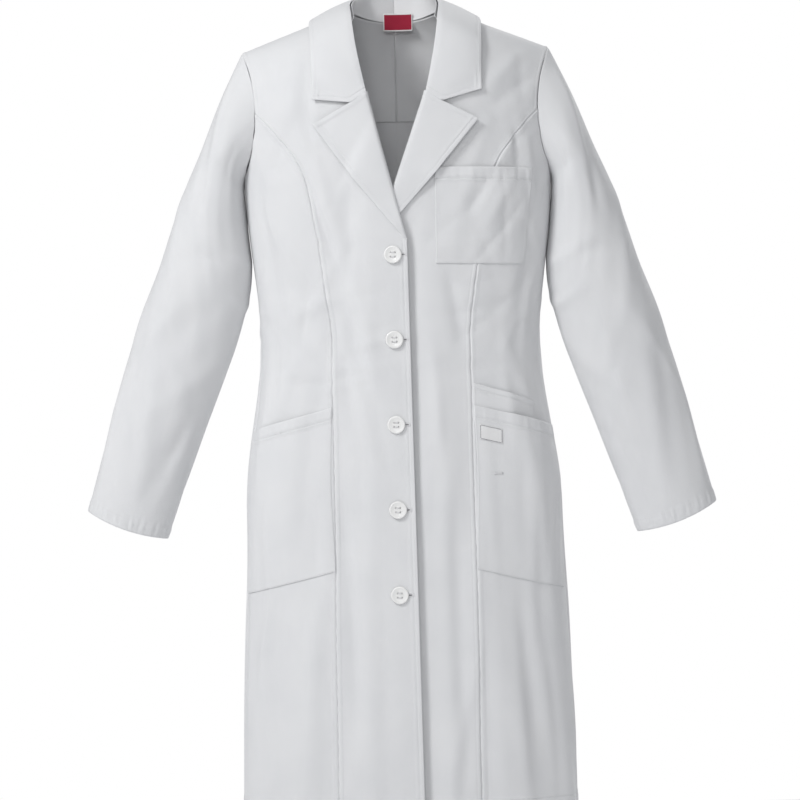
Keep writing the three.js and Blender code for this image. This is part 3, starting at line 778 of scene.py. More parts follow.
def bend_sleeve(piece, side):
    direction = SLEEVE_DIRECTION / np.linalg.norm(SLEEVE_DIRECTION)
    start, end = direction * SLEEVE_BEND[0], direction * SLEEVE_BEND[1]
    if side == "right":
        start, end = start * (-1, 1, 1), end * (-1, 1, 1)
    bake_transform(piece)


def finish_piece(piece, body=None, nodes=()):
    if body:
        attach(piece, body)
    if nodes:
        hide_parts(*nodes)


def declare(panel, body, nodes):
    finish_piece(panel.piece, body, nodes)


# ---- Armhole and princess seams ----
ARMHOLE_CENTRE = -(UNDERARM_DROP + SHOULDER_DROP) / 2
ARMHOLE_HALF = (UNDERARM_DROP - SHOULDER_DROP) / 2


def armhole(turn, back=False):
    x = SHOULDER_HALF - ARMHOLE_SCOOP * np.sin(np.radians(turn)) ** 2
    return place(x, ARMHOLE_CENTRE + ARMHOLE_HALF * np.cos(np.radians(turn)), back)


def armhole_arc(a, b, back=False):
    return lambda t: armhole(a + (b - a) * t, back)


PRINCESS_TOP = (SHOULDER_HALF - ARMHOLE_SCOOP, ARMHOLE_CENTRE)
PRINCESS_BUST = PRINCESS[0][1]


def princess_upper(back=False):
    start = (float(princess_x(np.array(SPLIT_Z))), SPLIT_Z)
    turn = (PRINCESS_BUST + 19, -UNDERARM_DROP + 3)
    near = ((turn[0] + PRINCESS_TOP[0]) / 2 + 2, (turn[1] + PRINCESS_TOP[1]) / 2 + 8)
    return through([start, turn, near, PRINCESS_TOP], back)


SEAM_SHARE = 0.78
BACK_SHARE = 0.857


def princess_whole(back=False):
    return joined(along(princess_x, HEM_Z, SPLIT_Z, back), princess_upper(back), SEAM_SHARE)


def side_seam(t):
    end_angle, end_z = armhole(np.array(180.0))
    return SIDE_SEAM_ANGLE + (end_angle - SIDE_SEAM_ANGLE) * t**3, HEM_Z + (end_z - HEM_Z) * t


def points_on(area, us, vs, lift=0.0, relaxed=True):
    angle, z = area(us, vs)
    extra = lift(angle, z, us[:, None], vs[None, :]) if callable(lift) else lift
    return body_point(angle, z, extra + (drape(angle, z) if relaxed else 0))


HEM = (28, 0.6)
THREADS = {}


def sew(group, *rows):
    THREADS.setdefault(group, []).extend(rows)


# ---- Back and sides ----
def build_back_and_sides():
    hem_ticks = hem_lines(HEM[0])
    for side in ("left", "right"):
        front_area = patch(
            princess_whole(),
            side_seam,
            line(place(PRINCESS[-1][1], HEM_Z), (SIDE_SEAM_ANGLE, HEM_Z)),
            armhole_arc(90, 180),
        )
        back_area = patch(
            princess_whole(True),
            side_seam,
            line(place(PRINCESS[-1][1], HEM_Z, True), (SIDE_SEAM_ANGLE, HEM_Z)),
            armhole_arc(90, 180, True),
        )
        vs = ticks(-HEM_Z - 160, low_edge=hem_ticks)
        front = Panel(
            f"side_front_{side}_cloth",
            points_on(on_side(front_area, side), ticks(125), vs, 0.6),
            {"left": "felled", "right": "seam", "top": "fine", "bottom": HEM},
        )
        front.build(WHITE)
        declare(front, "torso", [f"side_front_{side}"])
        sew("torso", front.row("bottom", HEM[0] - 1.8), front.row("left", STITCH_IN))
        back = Panel(
            f"side_back_{side}_cloth",
            points_on(on_side(back_area, side), ticks(150), vs, 0.6),
            {"left": "seam", "right": "seam", "top": "seam", "bottom": HEM},
            seed=2.0,
        )
        back.build(WHITE)
        declare(back, "torso", [f"side_back_{side}"])
        sew("torso", back.row("bottom", HEM[0] - 1.8))
        us, centre_vs = ticks(150), ticks(1050, low_edge=hem_ticks)
        centre = Panel(
            f"back_{side}_cloth",
            points_on(on_side(CENTRE_BACK, side), us, toward_shoulder(centre_vs, BACK_SHARE), 0.6),
            {"left": "felled", "right": "felled", "top": "seam", "bottom": HEM},
            seed=3.0,
        )
        centre.build(WHITE)
        # The inner face of the back gets the lighter inside twill: painted light.
        centre.paint_inside_lighter(INSIDE_PAINTED_LIGHT)
        declare(centre, "torso", [f"back_{side}"])
        sew("torso", centre.row("bottom", HEM[0] - 1.8), centre.row("right", STITCH_IN))
        sew("torso", centre.row("left", STITCH_IN))
        facing = Panel(
            f"back_neck_facing_{side}_cloth",
            points_on(on_side(NECK_FACING, side), ticks(84, 3.5, low_edge=()), ticks(130, 3.5), -1.0),
            {"bottom": "edge", "right": "edge"},
            thickness=0.7,
            seed=4.0,
        )
        # The neck facing is built in the lighter inside twill: painted light.
        facing.build(INSIDE_PAINTED_LIGHT)
        declare(facing, "torso", [f"back_neck_facing_{side}"])


def toward_shoulder(v, share, power=1.6):
    """Grid rows crowd towards the shoulder, where the surface turns over."""
    return np.where(v < share, v, 1 - (1 - share) * ((1 - np.minimum(v, 1)) / (1 - share)) ** power)


CENTRE_BACK = patch(
    line((180, HEM_Z), (180, 0)),
    joined(princess_whole(True), armhole_arc(90, 0, True), BACK_SHARE),
    line((180, HEM_Z), place(PRINCESS[-1][1], HEM_Z, True)),
    joined(
        through([(0, 0), (NECK_HALF / 2, NECK_RISE * 0.35), (NECK_HALF, NECK_RISE)], True),
        through([(NECK_HALF, NECK_RISE), (SHOULDER_HALF, -SHOULDER_DROP)], True),
        0.4,
    ),
)
FACING_BOTTOM = -126
NECK_FACING = patch(
    line((180, FACING_BOTTOM), (180, 0)),
    through([(84, FACING_BOTTOM), (85, -60), (82, float(shoulder_z(82)) - 0.5)], True),
    line((180, FACING_BOTTOM), place(84, FACING_BOTTOM, True)),
    joined(
        through([(0, 0), (NECK_HALF / 2, NECK_RISE * 0.35), (NECK_HALF, NECK_RISE)], True),
        through([(NECK_HALF, NECK_RISE), (82, float(shoulder_z(82)) - 0.5)], True),
        0.75,
    ),
)
build_back_and_sides()


# ---- Fronts: right over left, each folded open above the top button ----
OVERLAP_FULL, OVERLAP_START, OVERLAP_RISE = 34, 72, 80
FACING_WIDTH = 62
GORGE = (37, -105)
ROLL_NECK = 52
NECK_SIDE = (NECK_HALF, NECK_RISE)
SHOULDER_TIP = (SHOULDER_HALF, -SHOULDER_DROP)
BREAK_OVER = {"left": -UNDERLAP, "right": -FRONT_EDGE[0]}


def front_edge_x(z):
    return FRONT_EDGE[0] + (FRONT_EDGE[1] - FRONT_EDGE[0]) * (SPLIT_Z - z) / (SPLIT_Z - HEM_Z)


def overlap(angle, z):
    """The right front climbs over the left one before it reaches centre front."""
    own = -half_width(z) * np.sin(np.radians(angle))
    below = 1 - smooth(z, GORGE[1] - OVERLAP_RISE, GORGE[1])
    return OVERLAP_LIFT * below * (1 - smooth(own, OVERLAP_FULL, OVERLAP_START))


def sink(angle, z):
    """The left front sinks in beside the edge of the right front."""
    x = half_width(z) * np.sin(np.radians(angle))
    return -5.5 * bump(x, front_edge_x(z) + 1, 13) * (1 - smooth(z, SPLIT_Z - 10, SPLIT_Z + 60))


def roll_line(side):
    start = (BREAK_OVER[side], SPLIT_Z)
    middle = ((GORGE[0] + start[0]) / 2, (GORGE[1] + start[1]) / 2)
    lower = through([start, middle, GORGE])
    return joined(lower, through([GORGE, (ROLL_NECK - 2, -46), NECK_SIDE]), 0.62)


def upper_front(side):
    return patch(
        roll_line(side),
        joined(princess_upper(), armhole_arc(90, 0), 0.66),
        line(place(BREAK_OVER[side], SPLIT_Z), place(float(princess_x(SPLIT_Z)), SPLIT_Z)),
        through([NECK_SIDE, SHOULDER_TIP]),
    )


def strip(inner_x, outer_x, z0=HEM_Z, z1=SPLIT_Z):
    return patch(
        along(inner_x, z0, z1),
        along(outer_x, z0, z1),
        line(place(inner_x(np.array(z0)), z0), place(outer_x(np.array(z0)), z0)),
        line(place(inner_x(np.array(z1)), z1), place(outer_x(np.array(z1)), z1)),
    )


def level(x):
    return lambda z: x + 0 * np.asarray(z, float)


def front_lift(side, base):
    """The right front lies over the left one, which sinks in under it."""
    crossing = overlap if side == "right" else sink
    return lambda angle, z, u, v: base + crossing(angle, z)


def inside_front_edge(side, distance):
    """A line at this distance in from the front edge."""
    if side == "right":
        return lambda z: -front_edge_x(z) + distance
    return level(-UNDERLAP + distance)


def build_fronts():
    for side in ("left", "right"):
        lift = front_lift(side, 0.6)
        inner_x = inside_front_edge(side, 0)
        us = ticks(118)
        lower_vs = ticks(740, low_edge=hem_lines(HEM[0]), high_edge=())
        lower = Panel(
            f"{side}_front_cloth",
            points_on(on_side(strip(inner_x, princess_x), side), us, lower_vs, lift),
            {"left": "edge", "right": "felled", "bottom": HEM, "top": "joined"},
            seed=5.0,
        )
        lower.build(WHITE)
        bend_front(lower.piece)
        nodes = [f"{side}_front"] + (["left_front_edge"] if side == "left" else [])
        declare(lower, None, nodes)
        sew(f"{side}_low", lower.row("bottom", HEM[0] - 1.8), lower.row("left", STITCH_IN))
        sew(f"{side}_low", lower.row("right", STITCH_IN))
        vs = toward_shoulder(ticks(330, low_edge=()), 0.55, 1.5)
        upper = Panel(
            f"{side}_front_upper_cloth",
            points_on(on_side(upper_front(side), side), us, vs, lift),
            {"right": "felled", "bottom": "joined", "top": "felled"},
            seed=5.0,
        )
        upper.build(WHITE)
        bend_front(upper.piece)
        declare(upper, None, [f"{side}_front_upper"])
        sew(f"{side}_high", upper.row("right", STITCH_IN), upper.row("top", STITCH_IN))
        facing_area = strip(inside_front_edge(side, 1), inside_front_edge(side, FACING_WIDTH))
        facing = Panel(
            f"{side}_front_facing_cloth",
            points_on(on_side(facing_area, side), ticks(FACING_WIDTH), ticks(740), front_lift(side, -0.9)),
            {},
            thickness=0.7,
        )
        facing.build(WHITE)
        bend_front(facing.piece)
        declare(facing, None, [f"{side}_front_facing"])


build_fronts()


# ---- Lapels: each front edge rolls over and lies back on the front ----
LAPEL_TIP = {"left": (100, -137), "right": (103, -141)}
NOTCH = (52, -115)
NOTCH_INNER = (52, -111)
LAPEL_LIFT = 2.4
LAPEL_SPRING = 5
SPRING_Z = (-245, -200)


def build_lapels():
    for side in ("left", "right"):
        start = (BREAK_OVER[side] + 0.3, SPLIT_Z + 1)
        outer = (BREAK_OVER[side] + 4, SPLIT_Z + 3)
        middle = ((GORGE[0] + start[0]) / 2 - 1.0, (GORGE[1] + start[1]) / 2)
        tip = LAPEL_TIP[side]
        gorge_line = line(place(GORGE[0] - 0.5, GORGE[1] + 5), place(*NOTCH_INNER))
        area = patch(
            through([start, middle, (GORGE[0] - 0.5, GORGE[1] + 5)]),
            through([outer, ((outer[0] + tip[0]) / 2 + 3, (outer[1] + tip[1]) / 2), tip]),
            line(place(*start), place(*outer)),
            joined(gorge_line, line(place(*NOTCH_INNER), place(*tip)), 0.4),
        )

        def lift(angle, z, u, v, right=side == "right"):
            length = 3.7 + 66 * v
            roll = np.clip(u * length / 5.0, 0, 1)
            grown = 0.25 + 0.75 * smooth(v, 0, 0.16)
            rolled = -1.0 * grown + (LAPEL_LIFT + 2.6) * grown * np.sqrt(roll * (2 - roll))
            settle = -1.0 * grown * smooth(u * length, 5, 28)
            spring = LAPEL_SPRING * u * smooth(z, *SPRING_Z)
            return rolled + settle + spring + (overlap(angle, z) if right else 0)

        rolled_ticks = (0.0, 0.5, 1.1, 1.8, 2.8, 4.0, 5.5)
        panel = Panel(
            f"{side}_lapel_cloth",
            points_on(on_side(area, side), ticks(72, 4, low_edge=rolled_ticks), ticks(175, 4), lift),
            {"right": "edge", "top": "edge"},
            seed=6.0,
        )
        panel.build(WHITE)
        bend_front(panel.piece)
        declare(panel, None, [f"{side}_lapel"])
        sew(f"{side}_high", panel.row("right", STITCH_IN), panel.row("top", STITCH_IN))


build_lapels()


# ---- Collar: a stand round the neck, and a fall that turns down over it ----
def surface_point(x, z, lift, back=False):
    angle, height = place(np.array(float(x)), float(z), back)
    return body_point(angle, height, lift)


def centripetal(points, t):
    """A smooth curve through points, or a batch of them, spaced by the root of their distances."""
    points = np.asarray(points, float)
    last = points.shape[-2] - 1
    t = np.clip(np.asarray(t, float), 0, 1)
    i = np.minimum((t * last).astype(int), last - 1)
    w = (t * last - i)[:, None]
    before = 2 * points[..., :1, :] - points[..., 1:2, :]
    after = 2 * points[..., -1:, :] - points[..., -2:-1, :]
    full = np.concatenate([before, points, after], axis=-2)
    p0, p1, p2, p3 = (full[..., i + k, :] for k in range(4))
    d0, d1, d2 = (
        np.maximum(np.linalg.norm(b - a, axis=-1, keepdims=True) ** 0.5, 1e-4)
        for a, b in ((p0, p1), (p1, p2), (p2, p3))
    )
    m1 = ((p1 - p0) / d0 - (p2 - p0) / (d0 + d1) + (p2 - p1) / d1) * d1
    m2 = ((p2 - p1) / d1 - (p3 - p1) / (d1 + d2) + (p3 - p2) / d2) * d1
    return (
        p1
        + m1 * w
        + (-3 * p1 + 3 * p2 - 2 * m1 - m2) * w**2
        + (2 * p1 - 2 * p2 + m1 + m2) * w**3
    )


COLLAR_STAND = 42
NOTCH_SHARE = 0.4
COLLAR_POINT = {"left": (106, -100), "right": (104, -109)}  # the right point lies a little lower
COLLAR_LIFT = 6
COLLAR_BACK = 14
NECK_BACK_Y = surface_point(0, 0, 0, True)[1]


def build_collar():
    def neck_edge(x, z, back):
        return surface_point(x, z, 0.6, back) + (0, 0, 0.6)

    stand_foot = [
        neck_edge(0, 0, True),
        neck_edge(NECK_HALF / 2, NECK_RISE * 0.35, True),
        neck_edge(NECK_HALF - 2, NECK_RISE, True),
        neck_edge(NECK_HALF - 7, -8, False),
    ]
    stand_top = [
        (0, NECK_BACK_Y + 3, COLLAR_STAND - 2),
        (NECK_HALF * 0.56, NECK_BACK_Y * 0.8, COLLAR_STAND - 9),
        (ROLL_NECK + 1, 7, 25),
        surface_point(NECK_HALF - 11, -4, 2),
    ]
    fall_top = [
        (0, NECK_BACK_Y + 3.2, COLLAR_STAND - 0.6),
        (NECK_HALF * 0.6, NECK_BACK_Y * 0.85, COLLAR_STAND - 7.6),
        (ROLL_NECK + 3.5, 8, 26.5),
        surface_point(NECK_HALF - 9, -8, COLLAR_LIFT + 2),
        surface_point(NECK_HALF - 14, -48, COLLAR_LIFT - 2),
        surface_point(GORGE[0], GORGE[1] + 4, COLLAR_LIFT - 2),
    ]
    middle_x = (NECK_HALF + COLLAR_POINT["left"][0]) / 2
    fall_middle = [
        (0, NECK_BACK_Y + 12, COLLAR_STAND * 0.45),
        (NECK_HALF * 0.98, NECK_BACK_Y * 0.9, 12),
        ((ROLL_NECK + COLLAR_POINT["left"][0]) / 2 + 3, 7, 16),
        surface_point(middle_x, -26, COLLAR_LIFT + 4),
        surface_point(middle_x, -64, COLLAR_LIFT + 2),
        surface_point(NOTCH[0] + 4, NOTCH[1] + 1, COLLAR_LIFT),
    ]
    side_z = float(shoulder_z(COLLAR_POINT["left"][0]))

    def fall_edge(point):
        return [
            surface_point(0, -COLLAR_BACK, COLLAR_LIFT + 1, True),
            surface_point(NECK_HALF + 10, -COLLAR_BACK - 3, COLLAR_LIFT + 1, True),
            (COLLAR_POINT["left"][0] + 1, 3, side_z + COLLAR_LIFT + 2),
            surface_point(point[0], -38, COLLAR_LIFT + 2),
            surface_point(point[0], -70, COLLAR_LIFT),
            surface_point(*point, COLLAR_LIFT),
        ]

    us = ticks(260, 4, low_edge=(), high_edge=NEAR_EDGE)
    for side, sign in (("left", 1), ("right", -1)):
        foot, top = (centripetal(np.array(c), ticks(130, 4)) for c in (stand_foot, stand_top))
        v = ticks(40)[None, :, None]
        bow = np.zeros_like(foot)
        bow[:, 1] = 1.2
        stand_points = foot[:, None] * (1 - v) + top[:, None] * v
        stand_points = (stand_points + bow[:, None] * np.sin(np.pi * v)) * (sign, 1, 1)
        stand = Panel(
            f"collar_stand_{side}_cloth",
            stand_points,
            {"bottom": "seam"},
            seed=7.0,
            away=lambda p: np.array([0, 0, 20]),
        )
        stand.build(WHITE)
        declare(stand, "torso", [f"collar_stand_{side}"])
        rows = [centripetal(np.array(c), us) for c in (fall_top, fall_middle, fall_edge(COLLAR_POINT[side]))]
        v = ticks(62, 4)[None, :, None]
        first, third = rows[0][:, None], rows[2][:, None]
        middle = 2 * rows[1][:, None] - first / 2 - third / 2
        curved = first * (1 - v) ** 2 + 2 * middle * v * (1 - v) + third * v**2
        straight = np.where(
            v < NOTCH_SHARE,
            first + (rows[1][:, None] - first) * v / NOTCH_SHARE,
            rows[1][:, None] + (third - rows[1][:, None]) * (v - NOTCH_SHARE) / (1 - NOTCH_SHARE),
        )
        near_notch = smooth(us, 0.86, 1.0)[:, None, None]
        fall_points = curved * (1 - near_notch) + straight * near_notch
        roll = np.exp(-((v * 62 / 3.0) ** 2))
        fall_points = fall_points - roll * normals_outward(fall_points) * 1.2
        fall = Panel(
            f"collar_{side}_cloth",
            fall_points * (sign, 1, 1),
            {"left": None, "right": "edge", "top": "edge"},
            seed=8.0,
            away=lambda p: np.array([0, 0, -60]),
        )
        fall.build(WHITE)
        declare(fall, "torso", [f"collar_{side}"])
        sew("torso", fall.row("top", STITCH_IN), fall.row("right", STITCH_IN))


def normals_outward(points):
    normal = normals_of(points)
    return normal if np.sum(normal * (points - (0, 0, -60))) > 0 else -normal


build_collar()


# ---- Pockets ----
POCKET_PUFF = 0.35


def straight_in_front(start, end):
    """A line between two places that looks straight from the front, round the side of the body too."""
    turn_start, turn_end = math.sin(math.radians(start[0])), math.sin(math.radians(end[0]))

    def curve(t):
        angle = start[0] + (end[0] - start[0]) * t
        share = (np.sin(np.radians(angle)) - turn_start) / (turn_end - turn_start)
        return angle, start[1] + (end[1] - start[1]) * share

    return curve


def pocket_area(inner, outer, top, bottom, slant, bottom_slant=None):
    bottom_slant = slant if bottom_slant is None else bottom_slant
    low, high = place(inner, -bottom), place(inner, -top)
    low_out, high_out = outer(-bottom - bottom_slant), outer(-top - slant)
    sides = line(low, high), line(low_out, high_out)
    return patch(*sides, straight_in_front(low, low_out), straight_in_front(high, high_out))


def pouch(base, bulge):
    def lift(angle, z, u, v):
        side = np.sin(np.pi * np.clip(u, 0, 1)) ** 1.4
        return base + bulge * side * np.sin(np.pi / 2 * np.clip(v, 0, 1)) ** 0.6

    return lift


def chest_outer(z):
    x = 169 + (160 - 169) * (-197 - z) / (-197 + 320)
    return place(x, z)


def hip_outer(z):
    return HIP_OUTER_ANGLE, np.asarray(z, float)


CHEST_AREA = pocket_area(46, chest_outer, 197, 320, 2)
HIP_INNER, HIP_TOP, HIP_BOTTOM, HIP_SLANT, HIP_OUTER_ANGLE = 89, 500, 709, 28, 79.0
HIP_AREA = pocket_area(HIP_INNER, hip_outer, HIP_TOP, HIP_BOTTOM, HIP_SLANT)
PHONE_AREA = pocket_area(90, lambda z: place(166, z), 472, 523, 25, 0)
LABEL_AREA = pocket_area(95, lambda z: place(122, z), 525, 544, 7)


def hip_left_lift(angle, z, u, v):
    return pouch(1.65, 18 * POCKET_PUFF)(angle, z, u, v) + 1.3 * smooth(v, 0.5, 0.7)


def on_hip_pocket(angle, z):
    """The share across and up a hip pocket at a place on the body."""
    inner = place(HIP_INNER, z)[0]
    turn, first, last = (np.sin(np.radians(a)) for a in (angle, inner, HIP_OUTER_ANGLE))
    slant = HIP_SLANT * (turn - first) / (last - first)
    across = (angle - inner) / (HIP_OUTER_ANGLE - inner)
    return across, 1 - (-z - HIP_TOP - slant) / (HIP_BOTTOM - HIP_TOP)


def over_hip_pocket(angle, z, u, v):
    across, up = on_hip_pocket(angle, z)
    return hip_left_lift(angle, z, across, up) + 0.9


CHEST_LIFT = pouch(1.65, 9.5 * POCKET_PUFF)
HIP_RIGHT_LIFT = pouch(1.65, 13 * POCKET_PUFF)
PHONE_LIFT = pouch(1.5, 10.5 * POCKET_PUFF)
POCKET_HEM = (17, 0.6)


def build_pockets():
    jobs = (
        ("chest_pocket", CHEST_AREA, 125, 125, CHEST_LIFT, "left", POCKET_HEM, CLOTH),
        ("hip_pocket_left", HIP_AREA, 125, 212, hip_left_lift, "left", POCKET_HEM, CLOTH),
        ("hip_pocket_right", HIP_AREA, 125, 212, HIP_RIGHT_LIFT, "right", POCKET_HEM, CLOTH),
        ("phone_pocket", PHONE_AREA, 72, 52, PHONE_LIFT, "left", (9, 0.1), 0.8),
    )
    for name, area, width, height, lift, side, top, thickness in jobs:
        vs = ticks(height, 4, high_edge=hem_lines(top[0]))
        panel = Panel(
            f"{name}_cloth",
            points_on(on_side(area, side), ticks(width, 2.6), vs, lift),
            {"left": "patch", "right": "patch", "bottom": "patch", "top": top},
            thickness=thickness,
            seed=9.0,
        )
        panel.build(WHITE)
        declare(panel, "torso", [name])
        sew("torso", *(panel.row(edge, PATCH_STITCH) for edge in ("left", "right", "bottom")))
        sew("torso", panel.row("top", top[0] - 1.8))


build_pockets()


# ---- Labels ----
def frame_line(panel, start, end):
    """A thin grey woven line just inside the edge of a label."""
    mesh = panel.piece.data
    mesh.materials.append(GREY_LINE)
    away = np.minimum.reduce(list(panel.d.values()))
    cell = (away[1:, 1:] + away[:-1, 1:] + away[1:, :-1] + away[:-1, :-1]) / 4
    index = np.zeros(len(mesh.polygons), np.int32)
    index[: cell.size] = ((cell > start) & (cell < end)).ravel()
    mesh.polygons.foreach_set("material_index", index)


def build_labels():
    us, vs = ticks(30, 0.6), ticks(20, 0.6)
    label = Panel(
        "pocket_label_cloth",
        points_on(LABEL_AREA, us, vs, over_hip_pocket),
        {"left": None},
        thickness=0.5,
    )
    label.build(PALE)
    frame_line(label, 1.0, 1.7)
    finish_piece(label.piece, "torso", ["pocket_label"])
    sew("torso", *(label.row(edge, 1.5) for edge in ("left", "right", "bottom", "top")))
    u = np.linspace(-1, 1, 36)[:, None]
    z = np.linspace(-10, 13.5, 26)[None, :]
    half = 19
    bent = NECK_BACK_Y - 10.2 - 0.008 * (u * half) ** 2 + 0.08 * (13.5 - z)
    points = np.stack([4.5 + u * half + 0 * z, bent, z + 0 * u], axis=-1)
    neck = Panel("neck_label_cloth", points, {}, thickness=0.6, away=lambda p: np.array([0, 200, 2]))
    neck.build(CRIMSON)
    neck.piece.data.materials.append(PALE)
    count = len(neck.piece.data.polygons)
    centres = np.zeros(count * 3)
    neck.piece.data.polygons.foreach_get("center", centres)
    centres = centres.reshape(-1, 3) / MM
    border = (half - np.abs(centres[:, 0] - 4.5) < 1.6) | (np.abs(centres[:, 2] - 1.75) > 10.3)
    neck.piece.data.polygons.foreach_set("material_index", border.astype(np.int32))
    finish_piece(neck.piece, "torso", ["neck_label"])


build_labels()


# ---- Sleeves: top and under halves ----
CUFF_OUTER, CUFF_INNER = np.array([402.0, -631]), np.array([302.0, -668])
ELBOW_OUTER, ELBOW_INNER = np.array([338.0, -400]), np.array([213.0, -424])
BICEPS_OUTER, BICEPS_INNER = np.array([279.0, -232]), np.array([196.0, -262])
SHOULDER_OUTER = np.array([224.0, -95])
SLEEVE_STATIONS = (
    (SHOULDER_OUTER, np.array([199.0, -213]), 52),
    (BICEPS_OUTER + (SHOULDER_OUTER - BICEPS_OUTER) * 0.45, np.array([198.5, -231]), 54),
    (BICEPS_OUTER, BICEPS_INNER, 54),
    (BICEPS_OUTER + (ELBOW_OUTER - BICEPS_OUTER) * 0.45, np.array([191.0, -335]), 52),
    (ELBOW_OUTER, ELBOW_INNER, 47),
    (ELBOW_OUTER + (CUFF_OUTER - ELBOW_OUTER) * 0.5, ELBOW_INNER + (CUFF_INNER - ELBOW_INNER) * 0.46, 40),
    (CUFF_OUTER, CUFF_INNER, 33),
)
SLEEVE_SEAM = 100
SLEEVE_LENGTH = 640
CUFF_HEM = (17, 0.75)
CUFF_DROP = 6
WIDER_CUFF = np.array([6.0, 0, -3.0])  # the wearer's right sleeve hangs a little wider
SLEEVE_FOLDS = (
    # round, how far down (mm), turn (degrees from straight down), length, width, lift
    (40, 60, 18, 70, 12, 2.2),
    (75, 95, -28, 80, 12, 2.2),
    (110, 70, -40, 60, 10, -2.6),
    (60, 170, 22, 100, 14, -2.4),
    (125, 185, -50, 55, 10, 3.0),
    (98, 215, -38, 70, 10, -2.6),
    (150, 235, -60, 45, 9, 2.6),
    (52, 300, 26, 110, 15, 2.6),
    (88, 340, -22, 120, 14, -2.4),
    (118, 390, -26, 110, 13, 2.6),
    (42, 440, 16, 120, 15, -2.2),
    (78, 490, 10, 130, 14, 2.4),
    (112, 530, -12, 100, 13, -2.0),
    (22, 540, 8, 100, 12, 1.8),
)
SLEEVE_WRINKLES = make_wrinkles(21, 60, (-190, 190), (0, 640), (86, 22), (40, 110), (8, 15), (0.4, 1.3))
SLEEVE_ROUND = 1.05  # millimetres of cloth to a degree round the arm


def sleeve_drape(turn, down):
    around = turn * SLEEVE_ROUND
    lift = creases(SLEEVE_WRINKLES, around, down)
    for at_turn, at_down, tilt, length, width, height in SLEEVE_FOLDS:
        for mirror in (1, -1):
            da = around - mirror * at_turn * SLEEVE_ROUND
            dd = down - at_down
            c, s = math.cos(math.radians(tilt)), math.sin(math.radians(tilt)) * mirror
            lift += height * np.exp(-(((dd * c + da * s) / length) ** 2) - ((da * c - dd * s) / width) ** 2)
    return lift * smooth(down, 4, 40) * (1 - smooth(down, SLEEVE_LENGTH - 60, SLEEVE_LENGTH - 10))


def sleeve_points(turns, ts, lift):
    c, s = np.cos(np.radians(turns)), np.sin(np.radians(turns))
    folded = np.abs((turns + 180) % 360 - 180)
    front = armhole(folded, False)
    back = armhole(folded, True)
    angle = np.where(s < 0, back[0], front[0])
    start = body_point(angle, front[1], lift + drape(angle, front[1]))
    start[:, 0] += 0.5
    stations = [start]
    for outer, inner, depth in SLEEVE_STATIONS:
        half = (outer - inner) / 2
        width = np.linalg.norm(half)
        middle = (outer + inner) / 2
        x = middle[0] + half[0] * c * (width + lift) / width
        z = middle[1] + half[1] * c * (width + lift) / width
        stations.append(np.stack([x, -s * (depth + lift), z], axis=-1))
    curves = np.stack(stations, axis=1)
    points = centripetal(curves, ts)
    down = distances(points)["bottom"]
    drop = CUFF_DROP * (s**2)[:, None] * smooth(ts, 0.6, 1)[None]
    points = points + drop[..., None] * np.array([0.3, 0, -0.95])
    share = down / down[:, -1:] * SLEEVE_LENGTH
    normal = normals_of(points)
    axis = np.mean(points, axis=0, keepdims=True)
    if np.sum(normal * (points - axis)) < 0:
        normal = -normal
    wide = (turns + 180) % 360 - 180
    return points + normal * sleeve_drape(wide[:, None], share)[..., None]


def hang_wider(points, ts, side):
    """Moves the cuff end of the right sleeve a little outwards."""
    if side == "left":
        return points
    return points - smooth(ts, 0.35, 1.0)[None, :, None] * WIDER_CUFF


def build_sleeves():
    ts = ticks(SLEEVE_LENGTH, 4.5, high_edge=hem_lines(CUFF_HEM[0]))
    whole = np.linspace(-180, 180, 97)
    halves = (("top", -SLEEVE_SEAM, SLEEVE_SEAM), ("under", SLEEVE_SEAM, 360 - SLEEVE_SEAM))
    for side, sign in (("left", 1), ("right", -1)):
        for half, first, last in halves:
            back_edge, front_edge = ("left", "right") if half == "top" else ("right", "left")
            turns = first + (last - first) * ticks(1.2 * (last - first), 2.7)
            points = hang_wider(sleeve_points(turns, ts, 0.6) * (sign, 1, 1), ts, side)
            centre = np.mean(points, axis=0, keepdims=True)
            if half == "under":
                centre = np.mean(sleeve_points(whole, ts, 0.6), axis=0, keepdims=True) * (sign, 1, 1)
                centre = hang_wider(centre, ts, side)
            panel = Panel(
                f"{half}_sleeve_{side}_cloth",
                points,
                {back_edge: "fine", front_edge: "joined", "bottom": "fine", "top": CUFF_HEM},
                seed=11.0,
                away=lambda p, c=centre: c,
            )
            panel.build(WHITE)
            bend_sleeve(panel.piece, side)
            declare(panel, None, [f"{half}_sleeve_{side}"])
            sew(f"sleeve_{side}", panel.row("top", CUFF_HEM[0] - 1.8))


build_sleeves()


# ---- Buttons: four holes, a raised rim, and two bars of thread ----
BUTTON_THICKNESS = 3.0
HOLE_SPREAD, HOLE_RADIUS = 2.7, 1.05
HOLES = [(sx * HOLE_SPREAD, sz * HOLE_SPREAD) for sx in (-1, 1) for sz in (-1, 1)]


def button_shape():
    """Heights of the front face of a button over a polar grid, and the grid itself."""
    radii = np.concatenate([np.linspace(0, 6.2, 32), np.linspace(6.4, BUTTON_RADIUS, 26)])
    turns = np.linspace(0, 2 * math.pi, 97)[:-1]
    r, a = radii[:, None], turns[None, :]
    x, z = r * np.cos(a), r * np.sin(a)
    height = 2.3 + 0.55 * bump(r, 9.7, 1.25) - 0.35 * (1 - smooth(r, 5.6, 7.4))
    height = height - 1.5 * smooth(r, BUTTON_RADIUS - 1.1, BUTTON_RADIUS) ** 2 + 0 * a
    for hx, hz in HOLES:
        height = height - 1.6 * (1 - smooth(np.hypot(x - hx, z - hz), HOLE_RADIUS - 0.25, HOLE_RADIUS + 0.2))
    return x, z, height


